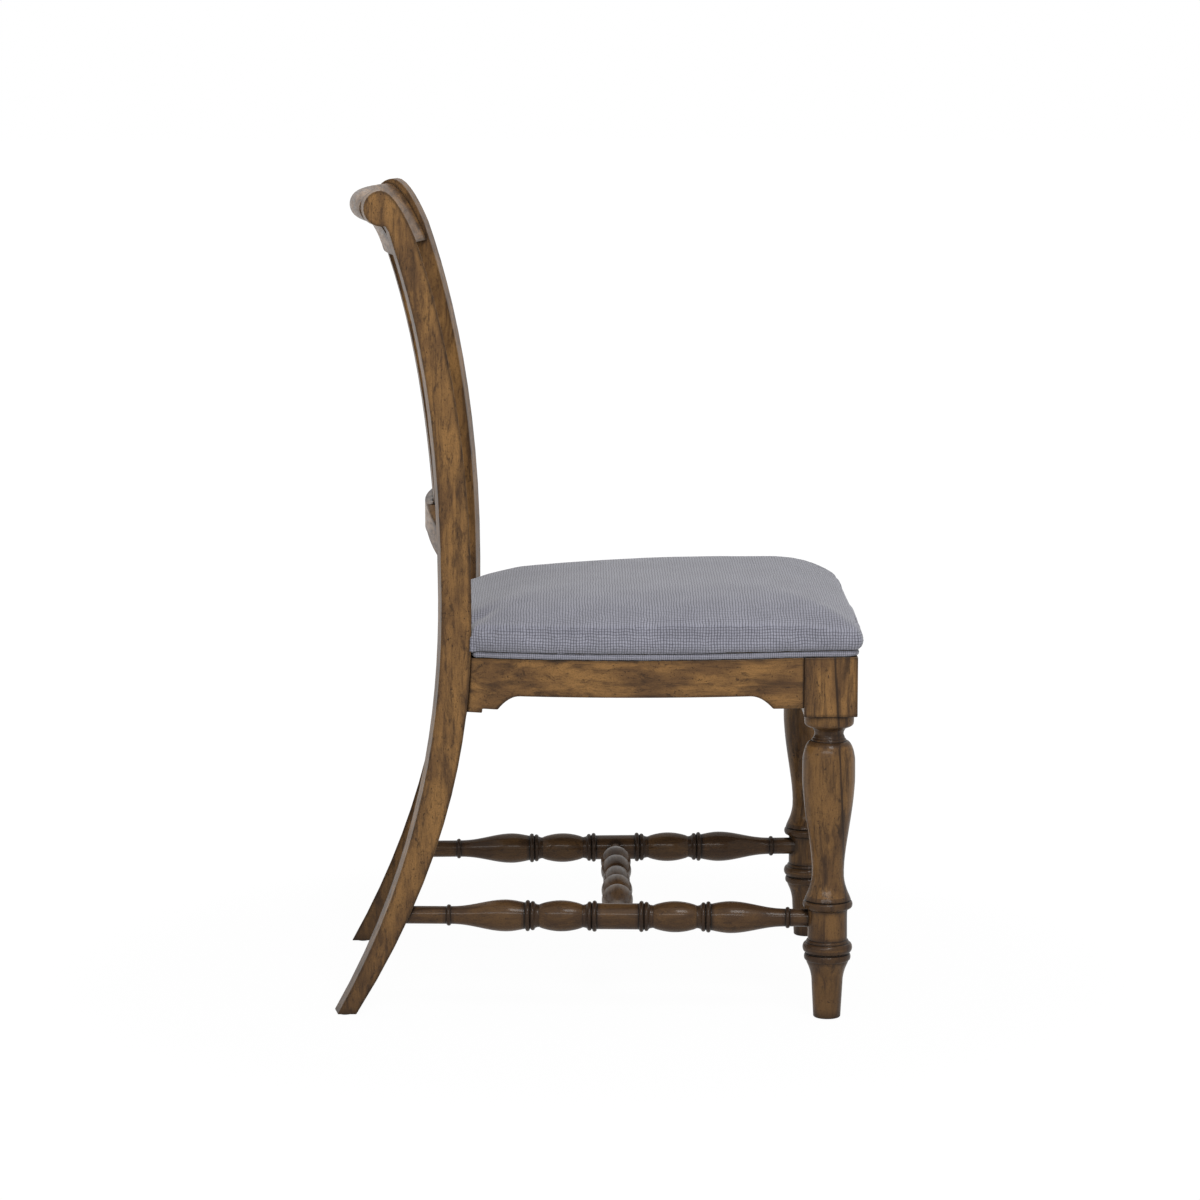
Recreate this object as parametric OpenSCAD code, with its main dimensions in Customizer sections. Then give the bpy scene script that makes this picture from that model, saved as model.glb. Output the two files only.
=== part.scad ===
// Upholstered side chair with scrolled posts, turned front legs and an H of turned stretchers.
// The sitter faces -Y, so right is -X. Z is up and the floor is z = 0.
// Pieces are laid out from the front legs' axis, and placed() centres the whole on the origin.

/* [Frame] */
// Width over the two front legs
front_w = 504; // [480:1:540]
// Width over the two rear legs
rear_w = 420; // [400:1:440]
// Distance from the front legs' axis to the front faces of the rear legs
seat_d = 430; // [400:1:460]
// Height of the seat frame's top above the floor, over the front legs' axis
frame_top = 448.9; // [430:0.1:465]
// Height of the rear posts' rolled tops above the floor
back_h = 1001.5; // [975:0.5:1035]

/* [Front legs] */
// Side of the square block at the head of a front leg
block_side = 64; // [58:1:70]
// Height of that block
block_h = 72.4; // [68:0.1:78]
// Radius of the collar under the block
collar_r = 29.8; // [27:0.1:30]
// Radius of the neck under the collar
neck_r = 17.5; // [15:0.1:20]
// Largest radius of the vase
vase_r = 32.2; // [29:0.1:34]
// Radius of the ankle below the vase
ankle_r = 19.3; // [17:0.1:22]
// Radius of the plain barrel that takes the stretcher
barrel_r = 23.9; // [21:0.1:25]
// Radius of the two large rings round the barrel
ring_r = 30.1; // [28:0.1:33]
// Radius of the foot at the floor
foot_r = 16.5; // [14:0.1:18]

/* [Rear legs] */
// Thickness of a rear leg, across the chair
leg_w = 27; // [25:1:32]
// Depth of a rear leg at the seat, front to back
leg_d = 36; // [33:1:42]
// Depth of a rear leg's foot along the floor
heel_d = 22.9; // [20:0.1:28]
// How far the foot sweeps back behind the seat
foot_sweep = 142.7; // [115:0.1:155]
// How far the post leans back, up to the scroll
post_lean = 64.8; // [50:0.1:76]
// Radius of the rolled end of a post
scroll_r = 21.3; // [18:0.1:24]
// How far the inner face lies behind the outer one, per mm of thickness
skew = 0.2; // [0.1:0.01:0.25]

/* [Back] */
// Bow of the back, measured between the posts
back_bow = 21.5; // [15:0.5:28]
// Height of the crest rail
crest_h = 73; // [64:1:82]
// Thickness of the crest rail at its lower edge
crest_t = 23; // [19:1:25]
// Step from the posts' tops down to the crest's top
crest_drop = 5.5; // [4:0.5:9]
// Height of the lower back rail's underside at mid span
lower_rail_z = 579.5; // [560:0.5:610]
// Height of the lower back rail
lower_rail_h = 34; // [28:1:42]
// Thickness of the lower back rail
lower_rail_t = 21; // [18:1:24]
// Fall of the lower back rail from its level middle to each post
rail_fall = 18; // [8:1:24]
// Width of a slat
slat_w = 24; // [18:1:28]
// Thickness of a slat
slat_t = 9; // [7:0.5:10]
// Distance from slat to slat
slat_pitch = 40; // [34:1:42]
// Depth of the slats' ends in the rails
slat_tenon = 9; // [6:1:11]

/* [Seat frame] */
// Thickness of the seat rails
rail_t = 22; // [18:1:25]
// Height of the seat rails between their brackets
rail_h = 45; // [40:1:52]
// Height of the seat rails at their brackets
bracket_h = 61.5; // [56:0.5:64]
// Length of the level foot of a bracket beside a front leg
bracket_foot = 37; // [24:1:44]
// Length of the level foot of a bracket near a rear leg
rear_foot = 19; // [12:1:26]
// Length of the curve from a bracket's foot to the rail's lower edge
bracket_run = 27; // [16:1:34]
// Length of the pad between a side rail's rear bracket and the rear leg
pad_l = 18; // [12:1:24]
// Depth of that pad below the bracket
pad_drop = 5; // [2:0.5:6]
// Outward bow of the side rails, measured from their ends
side_bow = 22; // [10:1:26]
// Fall of the seat frame toward the back, in degrees
seat_tilt = 1; // [0:0.1:2]
// Step from a leg's face back to the rail's face
reveal = 2; // [1:0.5:4]
// Height of the corner blocks
corner_h = 34; // [28:1:38]
// Reach of a corner block along each rail
corner_reach = 58; // [50:1:70]

/* [Stretchers] */
// Height of the stretchers' axes above the floor
stretcher_z = 122.8; // [112:0.1:132]
// Radius of a stretcher's plain ends
stretcher_end_r = 10.6; // [9:0.1:12]
// Radius of the side stretchers' plain middle
stretcher_mid_r = 15.9; // [14:0.1:17.5]
// Largest radius of the stretchers' swellings
stretcher_max_r = 19.4; // [18:0.1:21]
// Radius of the cross stretcher's plain ends
cross_end_r = 8.2; // [7.5:0.1:9.5]
// Radius of the cross stretcher's waists
cross_waist_r = 12; // [11:0.5:14]
// How far in from the front legs' axes the side stretchers meet them
stretcher_inset = 6; // [0:0.5:8]

/* [Seat] */
// Height of the seat's crown, before the frame's slope
seat_h = 521.5; // [510:0.5:540]
// How far the seat stands out past the legs at the front and the sides
overhang = 8; // [5:0.5:12]
// Radius of the welt cord
welt_r = 3.6; // [3:0.1:4.5]
// Thickness of the plywood seat board
board_t = 12; // [9:1:15]
// Thickness of the cover with its wadding
cover_t = 2.5; // [2:0.5:4]
// Height of the seat's upright sides
side_h = 30; // [26:1:36]
// Fall of the seat's top from its crown to the back edge
back_fall = 4; // [0:1:12]
// Fall of the seat's shoulder toward its two front corners
corner_drop = 10; // [0:1:14]
// How fast the crown rises from the edges; higher is flatter on top
crown_power = 4.5; // [3:0.5:7]
// Radius of the seat's front corners, in plan
corner_r = 16; // [10:1:26]

/* [Joints and fittings] */
// Radius of the dowels in the seat frame and the back
dowel_r = 4; // [3:0.5:4.5]
// Length of those dowels
dowel_l = 36; // [28:2:40]
// Radius of the stretchers' tenons
tenon_r = 7; // [6:0.5:8]
// Length of the stretchers' tenons
tenon_l = 15; // [12:1:17]
// Radius of the wood screws' shanks
screw_r = 2.2; // [1.8:0.1:2.6]
// Thickness of the foot glides
glide_t = 2; // [1.5:0.5:4]
// Radius of the foot glides
glide_r = 8; // [6:0.5:9]
// Gap between pieces that fit in or against each other
fit = 0.15; // [0.1:0.05:0.3]

/* [Hidden] */

$fn = 64;
wood = [0.42, 0.28, 0.16];
pale_wood = [0.72, 0.58, 0.40];
cloth = [0.55, 0.56, 0.60];
foam = [0.88, 0.82, 0.62];
steel = [0.70, 0.70, 0.72];
black = [0.10, 0.10, 0.11];

slat_n = 5;
waist_z = 509.5;                         // the rear legs' faces stand upright here
front_x = (front_w - block_side) / 2;   // the front legs' axes
leg_out_x = rear_w / 2;
leg_in_x = leg_out_x - leg_w;
leg_mid_x = leg_out_x - leg_w / 2;
block_z = frame_top - block_h;
tilt_slope = tan(seat_tilt);
function frame_z(y) = frame_top - y * tilt_slope;   // the seat frame's top at y

// Points of a cubic curve from a to d, without its last point
function curve(a, b, c, d, n) = [for (i = [0:n - 1]) let (t = i / n, u = 1 - t)
    u * u * u * a + 3 * u * u * t * b + 3 * u * t * t * c + t * t * t * d];
// Points of a circular arc in the y-z plane, from angle a0 to a1
function arc(c, r, a0, a1, n) = [for (i = [0:n]) let (a = a0 + (a1 - a0) * i / n)
    c + r * [cos(a), sin(a)]];

// Lathe profiles are lists of [distance along the axis, radius].
// An S-shaped change of radius from p to q; power below 1 makes it start fuller
function ease(p, q, n, power = 1) = [for (i = [0:n - 1]) let (t = pow(i / n, power))
    [p.x + (q.x - p.x) * i / n, p.y + (q.y - p.y) * (1 - cos(180 * t)) / 2]];
// A change of radius that starts level and steepens
function flare(p, q, n) = [for (i = [0:n - 1]) let (t = i / n)
    [p.x + (q.x - p.x) * t, p.y + (q.y - p.y) * t * t]];
// A quarter round that starts level at p and turns down to q
function shoulder(p, q, n) = [for (i = [0:n - 1]) let (a = 90 * i / n)
    [p.x + (q.x - p.x) * sin(a), q.y + (p.y - q.y) * cos(a)]];
// A rounded ring from z0 to z1 on a stem of radius r
function bead(z0, z1, r, peak, n = 6) = [for (i = [0:n]) let (a = 180 * i / n)
    [(z0 + z1) / 2 - (z1 - z0) / 2 * cos(a), r + (peak - r) * sin(a)]];

module lathe(profile) {
    ends = [[0, profile[0].x], [0, profile[len(profile) - 1].x]];
    rotate_extrude()
        polygon(concat([ends[0]], [for (p = profile) [p.y, p.x]], [ends[1]]));
}

// Moves the layout so that the whole chair's box is centred on the z axis
cover_front_y = -block_side / 2 - overhang;
heel_y = seat_d + foot_sweep + heel_d + leg_w * skew;
module placed() {
    back_y = max(heel_y, crest_y + crest_roll_r);
    translate([0, -(cover_front_y + back_y) / 2, 0]) children();
}
// The same on both sides of the chair; right is -X
module on_side(side) {
    if (side == "right") mirror([1, 0, 0]) children();
    else children();
}
module both_sides() {
    children();
    mirror([1, 0, 0]) children();
}
// Tips level pieces onto the seat frame's slope
module tilted() {
    translate([0, 0, frame_top]) rotate([-seat_tilt, 0, 0]) translate([0, 0, -frame_top])
        children();
}
// The space above the seat frame, which trims its pieces; they start out higher by trim
trim = 3;
module above_frame() {
    tilted() translate([-front_w, -front_w, frame_top]) cube([2 * front_w, 3 * front_w, block_h]);
}

// Front leg

function leg_turning() = let (
        s = stretcher_z,
        b = block_z,
        foot_top = s - 50,
        stem_r = ring_r - 4.1)
    concat(
        [[glide_t, foot_r - 1], [glide_t + 1, foot_r]],
        flare([45, foot_r + 2.3], [foot_top, stem_r + 0.6], 8),
        bead(foot_top, s - 41.4, stem_r, ring_r - 1.8),
        bead(s - 40.2, s - 28, stem_r, ring_r),
        shoulder([s - 28, stem_r], [s - 24.5, barrel_r], 3),
        [[s - 24.5, barrel_r], [s + 10.5, barrel_r], [s + 13, barrel_r + 0.6]],
        bead(s + 14.5, s + 24, ring_r - 3.2, ring_r),
        [[s + 24.6, ring_r - 3.4]],
        ease([s + 25.2, ring_r - 2.1], [s + 58, ankle_r], 9, 0.62),
        ease([s + 62, ankle_r], [b - 65, vase_r], 14, 0.82),
        shoulder([b - 65, vase_r], [b - 33.5, neck_r + 3.5], 9),
        [[b - 33.5, neck_r + 3.4], [b - 31.6, neck_r + 3]],
        ease([b - 30.4, neck_r + 1.8], [b - 25, neck_r], 3),
        flare([b - 25, neck_r], [b - 16, neck_r + 5], 5),
        [[b - 15.4, collar_r - 3.2], [b - 13.4, collar_r - 0.8], [b - 10, collar_r],
         [b + 1, collar_r]]);

module front_leg(side) {
    color(wood) placed() on_side(side) difference() {
        translate([front_x, 0, 0]) union() {
            lathe(leg_turning());
            translate([-block_side / 2, -block_side / 2, block_z])
                cube([block_side, block_side, block_h + trim]);
        }
        above_frame();
        front_rail_dowels(fit);
        side_rail_dowels(fit);
        side_stretcher_tenons(fit);
    }
}

// Rear leg: a side profile carried obliquely across the leg's thickness

scroll_y = seat_d + post_lean + 39.6;
scroll_z = back_h - scroll_r;
neck_z = back_h - 56;
leg_front_low = curve([seat_d + foot_sweep, glide_t], [seat_d - 1.4, 0.456 * waist_z],
    [seat_d, 0.817 * waist_z], [seat_d, waist_z], 16);
leg_front_high = curve([seat_d, waist_z], [seat_d, waist_z + 0.462 * (neck_z - waist_z)],
    [seat_d + 0.524 * post_lean, neck_z - 0.206 * (neck_z - waist_z)],
    [seat_d + post_lean, neck_z], 12);
scroll_front = [seat_d + post_lean, neck_z];
scroll_top = curve(scroll_front, scroll_front + [9, 22], [scroll_y - 14, back_h],
    [scroll_y, back_h], 8);
scroll_roll = arc([scroll_y, scroll_z], scroll_r, 90, -102, 14);
leg_back_high = curve([seat_d + post_lean + 31, neck_z + 7],
    [seat_d + post_lean + 13.5, neck_z - 53],
    [seat_d + leg_d, waist_z + 0.63 * (neck_z - waist_z)], [seat_d + leg_d, waist_z], 12);
leg_back_low = curve([seat_d + leg_d, waist_z], [seat_d + leg_d, 0.736 * waist_z],
    [seat_d + leg_d + 20.7, 0.386 * waist_z],
    [seat_d + foot_sweep + heel_d, glide_t], 16);
leg_profile = concat(leg_front_low, leg_front_high, scroll_top, scroll_roll,
    leg_back_high, leg_back_low, [[seat_d + foot_sweep + heel_d, glide_t]]);

// Triangles of a leg's side: a ladder up the shaft, then a fan round the scroll's centre
function leg_side(n, rungs) = concat(
    [for (k = [0:rungs - 1]) each [[k, k + 1, n - 1 - k], [k + 1, n - 2 - k, n - 1 - k]]],
    [for (k = [rungs:n - 2 - rungs]) [k, k + 1, n]],
    [[n - 1 - rungs, rungs, n]]);

module rear_leg_blank() {
    n = len(leg_profile);
    rungs = len(leg_front);
    side = concat(leg_profile, [[scroll_y, scroll_z]]);
    outer = [for (p = side) [leg_out_x, p.x, p.y]];
    inner = [for (p = side) [leg_in_x, p.x + leg_w * skew, p.y]];
    faces = leg_side(n, rungs);
    polyhedron(concat(outer, inner), concat(faces,
        [for (f = faces) [n + 1 + f[2], n + 1 + f[1], n + 1 + f[0]]],
        [for (i = [0:n - 1]) let (j = (i + 1) % n) [i, n + 1 + i, n + 1 + j, j]]));
}

leg_front = concat(leg_front_low, leg_front_high);
function leg_front_y(z) = lookup(z, [for (p = leg_front) [p.y, p.x]]);
// The space behind a rear leg's front face, which trims the pieces that end on it
module behind_leg_front() {
    a = atan(skew);
    far_y = 2 * foot_sweep;
    translate([leg_out_x, seat_d - fit, 0]) rotate([0, 0, -a]) rotate([90, 0, 90])
        translate([0, 0, -3 * leg_w]) linear_extrude(4 * leg_w)
            polygon(concat([for (p = leg_front) [(p.x - seat_d) * cos(a), p.y]],
                [[far_y, neck_z], [far_y, glide_t]]));
}

module rear_leg(side) {
    color(wood) placed() on_side(side) difference() {
        rear_leg_blank();
        side_rail_dowels(fit);
        rear_rail_dowels(fit);
        crest_dowels(fit);
        lower_rail_dowels(fit);
        side_stretcher_tenons(fit);
    }
}

// Back: the crest, the lower rail and the slats are bent to one radius

bow_r = (pow(leg_in_x, 2) + pow(back_bow, 2)) / (2 * back_bow);
crest_back_step = 5;
crest_shift = leg_w * skew + back_bow + crest_back_step;
crest_top = back_h - crest_drop;
crest_low = crest_top - crest_h;
crest_roll_r = scroll_r - 4.5;
crest_y = scroll_y + crest_shift;
crest_foot_y = leg_front_y(crest_low) + crest_shift;
rail_back_y = seat_d + leg_d + leg_w * skew + back_bow;
rail_top_z = lower_rail_z + lower_rail_h;
level_half = (slat_n - 1) / 2 * slat_pitch + slat_w / 2;

crest_profile = concat(
    curve([crest_foot_y, crest_low], [crest_foot_y + 14, crest_low + crest_h / 2],
        [crest_y - 13, crest_top], [crest_y, crest_top], 10),
    arc([crest_y, crest_top - crest_roll_r], crest_roll_r, 90, -100, 14),
    curve([crest_y - 9, crest_low + 34], [crest_y - 15, crest_low + 26],
        [crest_foot_y + crest_t + 4, crest_low + 14], [crest_foot_y + crest_t, crest_low], 6),
    [[crest_foot_y + crest_t, crest_low]]);

// Sweeps a profile drawn at mid span round the back's bow, between the posts
module bowed(mid_y) {
    intersection() {
        translate([0, mid_y - bow_r, 0]) rotate([0, 0, 60]) rotate_extrude(angle = 60, $fn = 480)
            translate([bow_r - mid_y, 0]) children();
        translate([-leg_in_x + fit, 0, 0]) cube([2 * (leg_in_x - fit), 2 * seat_d, 2 * back_h]);
    }
}

module crest_rail() {
    color(wood) placed() difference() {
        bowed(crest_y) polygon(crest_profile);
        both_sides() crest_dowels(fit);
        for (i = [1:slat_n]) slat_blank(i, fit);
    }
}

module lower_back_rail() {
    elevation = [
        [-leg_in_x, lower_rail_z - rail_fall], [-level_half, lower_rail_z],
        [level_half, lower_rail_z], [leg_in_x, lower_rail_z - rail_fall],
        [leg_in_x, rail_top_z - rail_fall], [level_half, rail_top_z],
        [-level_half, rail_top_z], [-leg_in_x, rail_top_z - rail_fall]];
    color(wood) placed() difference() {
        intersection() {
            bowed(rail_back_y) translate([rail_back_y - lower_rail_t, 0])
                square([lower_rail_t, back_h]);
            translate([0, 2 * seat_d, 0]) rotate([90, 0, 0])
                linear_extrude(2 * seat_d) polygon(elevation);
        }
        both_sides() lower_rail_dowels(fit);
        for (i = [1:slat_n]) slat_blank(i, fit);
    }
}

// A slat follows the posts' curve from the lower rail to the crest rail
slat_foot_y = rail_back_y - 10;
slat_head_y = crest_foot_y + crest_t - 4;
function slat_back_edge() = let (rise = crest_low - rail_top_z)
    concat(curve([slat_foot_y, rail_top_z], [slat_foot_y + 8, rail_top_z + rise / 3],
            [slat_head_y - 34, crest_low - rise / 3], [slat_head_y, crest_low], 12),
        [[slat_head_y, crest_low]]);

module slat_blank(i, gap) {
    edge = slat_back_edge();
    n = len(edge);
    depth = slat_tenon + gap;
    foot = edge[0] - [0.08, 1] * depth;
    head = edge[n - 1] + [0.33, 1] * depth;
    line = concat([foot], edge, [head]);
    outline = concat([for (p = line) p + [gap, 0]],
        [for (k = [n + 1:-1:0]) line[k] - [slat_t + gap, 0]]);
    x = (i - (slat_n + 1) / 2) * slat_pitch;
    width = slat_w + 2 * gap;
    translate([0, rail_back_y - bow_r, 0]) rotate([0, 0, -asin(x / bow_r)])
        translate([-width / 2, bow_r - rail_back_y, 0])
            rotate([90, 0, 90]) linear_extrude(width) polygon(outline);
}

module back_slat(i) {
    color(wood) placed() slat_blank(i, 0);
}

// Seat frame

inner_block_x = front_x - block_side / 2;
front_rail_y = -block_side / 2 + reveal;
rear_rail_y = seat_d + leg_w * skew + 6;
side_foot_y = block_side / 2;

// Half of a bracket's outline, from the rail's lower edge down to the bracket's foot
function bracket(from, to, low, high) = concat(
    flare([from, high], [to, low], 8), [[to, low]]);
function backwards(list) = [for (k = [len(list) - 1:-1:0]) list[k]];

module seat_rail_front() {
    low = frame_top - bracket_h;
    high = frame_top - rail_h;
    run_x = inner_block_x - bracket_foot - bracket_run;
    half = bracket(run_x, run_x + bracket_run, low, high);
    right = concat(half, [[inner_block_x, low], [inner_block_x, frame_top + trim]]);
    outline = concat(right, backwards([for (p = right) [-p.x, p.y]]));
    color(wood) placed() difference() {
        translate([0, front_rail_y + rail_t, 0]) rotate([90, 0, 0])
            linear_extrude(rail_t) polygon(outline);
        above_frame();
        both_sides() front_rail_dowels(fit);
        both_sides() corner_screws_front(fit);
    }
}

rear_rail_h = rail_h + 8;
module seat_rail_rear() {
    length = 2 * (leg_in_x - fit);
    color(wood) placed() difference() {
        translate([-length / 2, rear_rail_y, frame_z(rear_rail_y) - rear_rail_h])
            cube([length, rail_t, rear_rail_h + trim]);
        above_frame();
        both_sides() rear_rail_dowels(fit);
        both_sides() corner_screws_rear(fit);
    }
}

// The side rails are bent to an arc between the front block and the rear leg
side_front = [front_w / 2 - reveal, side_foot_y];
side_rear = [leg_out_x - reveal, seat_d];
side_chord = norm(side_rear - side_front);
side_r = (pow(side_chord / 2, 2) + pow(side_bow, 2)) / (2 * side_bow);
side_out = [side_rear.y - side_front.y, side_front.x - side_rear.x] / side_chord;
side_centre = (side_front + side_rear) / 2 - (side_r - side_bow) * side_out;
function side_x(y, r = side_r) = side_centre.x + sqrt(r * r - pow(y - side_centre.y, 2));
function side_in_x(y) = side_x(y, side_r - rail_t);

// They end on the block's face and on the rear leg's curved face
module side_rail(side) {
    far_y = seat_d + leg_d / 2;
    pad_y = leg_front_y(frame_z(seat_d) - bracket_h) - pad_l;
    front_y = side_foot_y + bracket_foot + bracket_run;
    rear_y = pad_y - rear_foot - bracket_run;
    front_low = frame_z(side_foot_y) - bracket_h;
    rear_low = frame_z(pad_y) - bracket_h;
    edge = concat(
        [[side_foot_y, front_low]],
        backwards(bracket(front_y, front_y - bracket_run, front_low, frame_z(front_y) - rail_h)),
        bracket(rear_y, rear_y + bracket_run, rear_low, frame_z(rear_y) - rail_h),
        [[pad_y, rear_low], [pad_y, rear_low - pad_drop], [far_y, rear_low - pad_drop]]);
    outline = concat(edge, [[far_y, frame_top], [side_foot_y, frame_top + trim]]);
    color(wood) placed() on_side(side) difference() {
        intersection() {
            translate(side_centre) rotate([0, 0, -20]) rotate_extrude(angle = 50, $fn = 480)
                translate([side_r - rail_t, 0]) square([rail_t, 2 * frame_top]);
            rotate([90, 0, 90]) linear_extrude(front_w) polygon(outline);
        }
        above_frame();
        behind_leg_front();
        side_rail_dowels(fit);
        corner_screws_side(fit);
    }
}

// Corner blocks, glued and screwed between the rails

front_inner_y = front_rail_y + rail_t;
block_gap = 4;
front_block_z = frame_top - block_gap - corner_h;
rear_block_z = frame_z(seat_d) - block_gap - corner_h;
module corner_block(side, end) {
    low = end == "front" ? front_block_z : rear_block_z;
    outline = end == "front" ? [
        [inner_block_x - fit, front_inner_y + fit],
        [inner_block_x - fit, side_foot_y + fit],
        [side_in_x(side_foot_y) - 2 * fit, side_foot_y + fit],
        [side_in_x(side_foot_y + corner_reach) - 2 * fit, side_foot_y + corner_reach],
        [inner_block_x - corner_reach, front_inner_y + fit]] : [
        [leg_in_x - 1, rear_rail_y - fit],
        [leg_in_x - corner_reach, rear_rail_y - fit],
        [side_in_x(seat_d - corner_reach) - 2 * fit, seat_d - corner_reach],
        [side_in_x(seat_d - 1) - 2 * fit, seat_d - 1],
        [leg_in_x - 1, seat_d - 1]];
    color(pale_wood) placed() on_side(side) difference() {
        translate([0, 0, low]) linear_extrude(corner_h) polygon(outline);
        if (end == "front") corner_screws_front(fit);
        if (end == "rear") corner_screws_rear(fit);
        corner_screws_side(fit);
        board_screws(fit);
    }
}

// Stretchers. Their turning is symmetrical, so half of it is listed from the middle outwards

stretcher_rear_y = leg_front_y(stretcher_z);
stretcher_mid_y = stretcher_rear_y / 2;
stretcher_front_x = front_x - stretcher_inset;
stretcher_rear_x = leg_mid_x - 2;
stretcher_angle = atan((stretcher_front_x - stretcher_rear_x) / stretcher_rear_y);
stretcher_mid_x = (stretcher_front_x + stretcher_rear_x) / 2;
side_span = stretcher_mid_y / cos(stretcher_angle);

// A pair of rings, the small one at z and the large one at z + 6 * dir
function ring_pair(z, dir) = let (small = bead(z - 2.6 * dir, z + 2.6 * dir, 15.6, 17.8),
        large = bead(z + 3.4 * dir, z + 8.8 * dir, 16.4, stretcher_max_r - 0.4))
    dir > 0 ? concat(small, large) : concat(backwards(large), backwards(small));
// The long swelling from z0 outwards, and the small ring near the plain end
function swelling(z0, peak_z, ring_z) = concat(
    shoulder_up([z0, 16.2], [peak_z, stretcher_max_r], 6),
    ease([peak_z, stretcher_max_r], [ring_z - 4, stretcher_end_r + 0.3], 12, 0.95),
    bead(ring_z - 2.6, ring_z + 2.6, stretcher_end_r + 0.2, stretcher_end_r + 2.4));
// A quarter round that rises from p and ends level at q
function shoulder_up(p, q, n) = [for (i = [0:n - 1]) let (a = 90 * i / n)
    [p.x + (q.x - p.x) * i / n, p.y + (q.y - p.y) * sin(a)]];
function oval(z0, z1, neck, peak, n, fullness = 0.8) = [for (i = [0:n]) let (t = i / n)
    [z0 + (z1 - z0) * t, neck + (peak - neck) * pow(sin(180 * t), fullness)]];

side_half = concat([[25.4, stretcher_mid_r]], ring_pair(34.6, -1),
    [[39, 14.4]], oval(42.6, 96.1, 13.8, stretcher_max_r - 0.5, 14), [[99.4, 14.4]],
    ring_pair(103.8, 1), swelling(113.6, 137, side_span - 48));
// The cross stretcher: a small ball between two large ones, then a vase that thins to each end
cross_half = concat(
    [for (p = oval(-28, 28, cross_waist_r, stretcher_max_r - 2.4, 14, 0.6)) if (p.x >= 0) p],
    oval(31, 86, cross_waist_r, stretcher_max_r, 14, 0.6),
    shoulder_up([89, cross_waist_r + 0.6], [113, stretcher_max_r], 7),
    ease([113, stretcher_max_r], [stretcher_mid_x - 32, cross_end_r + 0.3], 12, 0.95));

module turned_bar(half, span, end_r) {
    mirrored = [for (p = backwards(half)) if (p.x > 0) [-p.x, p.y]];
    lathe(concat([[-span, end_r]], mirrored, half, [[span, end_r]]));
}
// Lays a lathe axis along the line of a side stretcher, from its middle
module along_side() {
    translate([stretcher_mid_x, stretcher_mid_y, stretcher_z])
        rotate([0, 0, 90 + stretcher_angle]) rotate([0, 90, 0]) children();
}

module side_stretcher_tenons(gap) {
    front = side_span - barrel_r + tenon_l + gap;
    rear = side_span + tenon_l + gap;
    along_side() translate([0, 0, -front]) cylinder(r = tenon_r + gap, h = front + rear);
}
module side_stretcher(side) {
    color(wood) placed() on_side(side) difference() {
        union() {
            difference() {
                along_side() turned_bar(side_half, side_span + tenon_l - 2, stretcher_end_r);
                translate([front_x, 0, 0]) cylinder(r = barrel_r + fit, h = 2 * stretcher_z);
                behind_leg_front();
            }
            side_stretcher_tenons(0);
        }
        cross_tenons(fit);
    }
}

cross_tenon_r = 6;
cross_tenon_l = 11;
module cross_tenons(gap) {
    reach = stretcher_mid_x - stretcher_mid_r + cross_tenon_l + gap;
    translate([0, stretcher_mid_y, stretcher_z]) rotate([0, 90, 0])
        cylinder(r = cross_tenon_r + gap, h = 2 * reach, center = true);
}
module cross_stretcher() {
    color(wood) placed() union() {
        difference() {
            translate([0, stretcher_mid_y, stretcher_z]) rotate([0, 90, 0])
                turned_bar(cross_half, stretcher_mid_x, cross_end_r);
            both_sides() along_side()
                cylinder(r = stretcher_mid_r + fit, h = 50, center = true);
        }
        cross_tenons(0);
    }
}

// Seat. Its plan is drawn in toward the middle, ring by ring, as it rises

board_z = frame_top;
rim_z = frame_top + 2 * welt_r + 0.4;
seat_mid_y = seat_d * 0.47;
seat_reach = 250;
post_gap = 1.6;
plan_corners = let (
        front = [front_w / 2 + overhang, cover_front_y],
        post = [leg_out_x + overhang - reveal, seat_d - post_gap],
        notch = [leg_in_x - 0.7, seat_d + leg_w * skew - post_gap],
        back = [leg_in_x - 0.7, rear_rail_y + rail_t])
    [front, post, notch, back];

// Rounds the corner p between its neighbours a and b
function bend(a, p, b, r, n) = let (
        s = p + (a - p) / norm(a - p) * r,
        e = p + (b - p) / norm(b - p) * r)
    [for (i = [0:n]) let (t = i / n) (1 - t) * (1 - t) * s + 2 * t * (1 - t) * p + t * t * e];
function between(a, b, n) = [for (i = [1:n]) a + (b - a) * i / (n + 1)];
function across(p) = [-p.x, p.y];

// The seat's plan, with these seven points at each rear corner
function plan_with(rear) = let (
        c = plan_corners,
        front = bend(across(c[0]), c[0], c[1], corner_r, 5),
        side = [for (i = [0:6]) let (y = side_foot_y + i * (seat_d - 24 - side_foot_y) / 6)
            [side_x(y) + overhang, y]],
        half = concat([[0, cover_front_y]], between([0, cover_front_y], front[0], 3), front,
            side, rear, between(rear[6], [0, c[3].y], 2), [[0, c[3].y]]))
    concat(half, [for (k = [len(half) - 2:-1:1]) across(half[k])]);
seat_plan = let (c = plan_corners)
    plan_with(concat(bend(c[0], c[1], c[2], 5, 2), [c[2]], bend(c[2], c[3], across(c[3]), 6, 2)));
// The crown keeps to a plan with round corners in place of the notches
crown_corner_r = 50;
crown_plan = let (c = [plan_corners[1].x, plan_corners[3].y])
    plan_with(bend([c.x, 0], c, across(c), crown_corner_r, 6));

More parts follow.
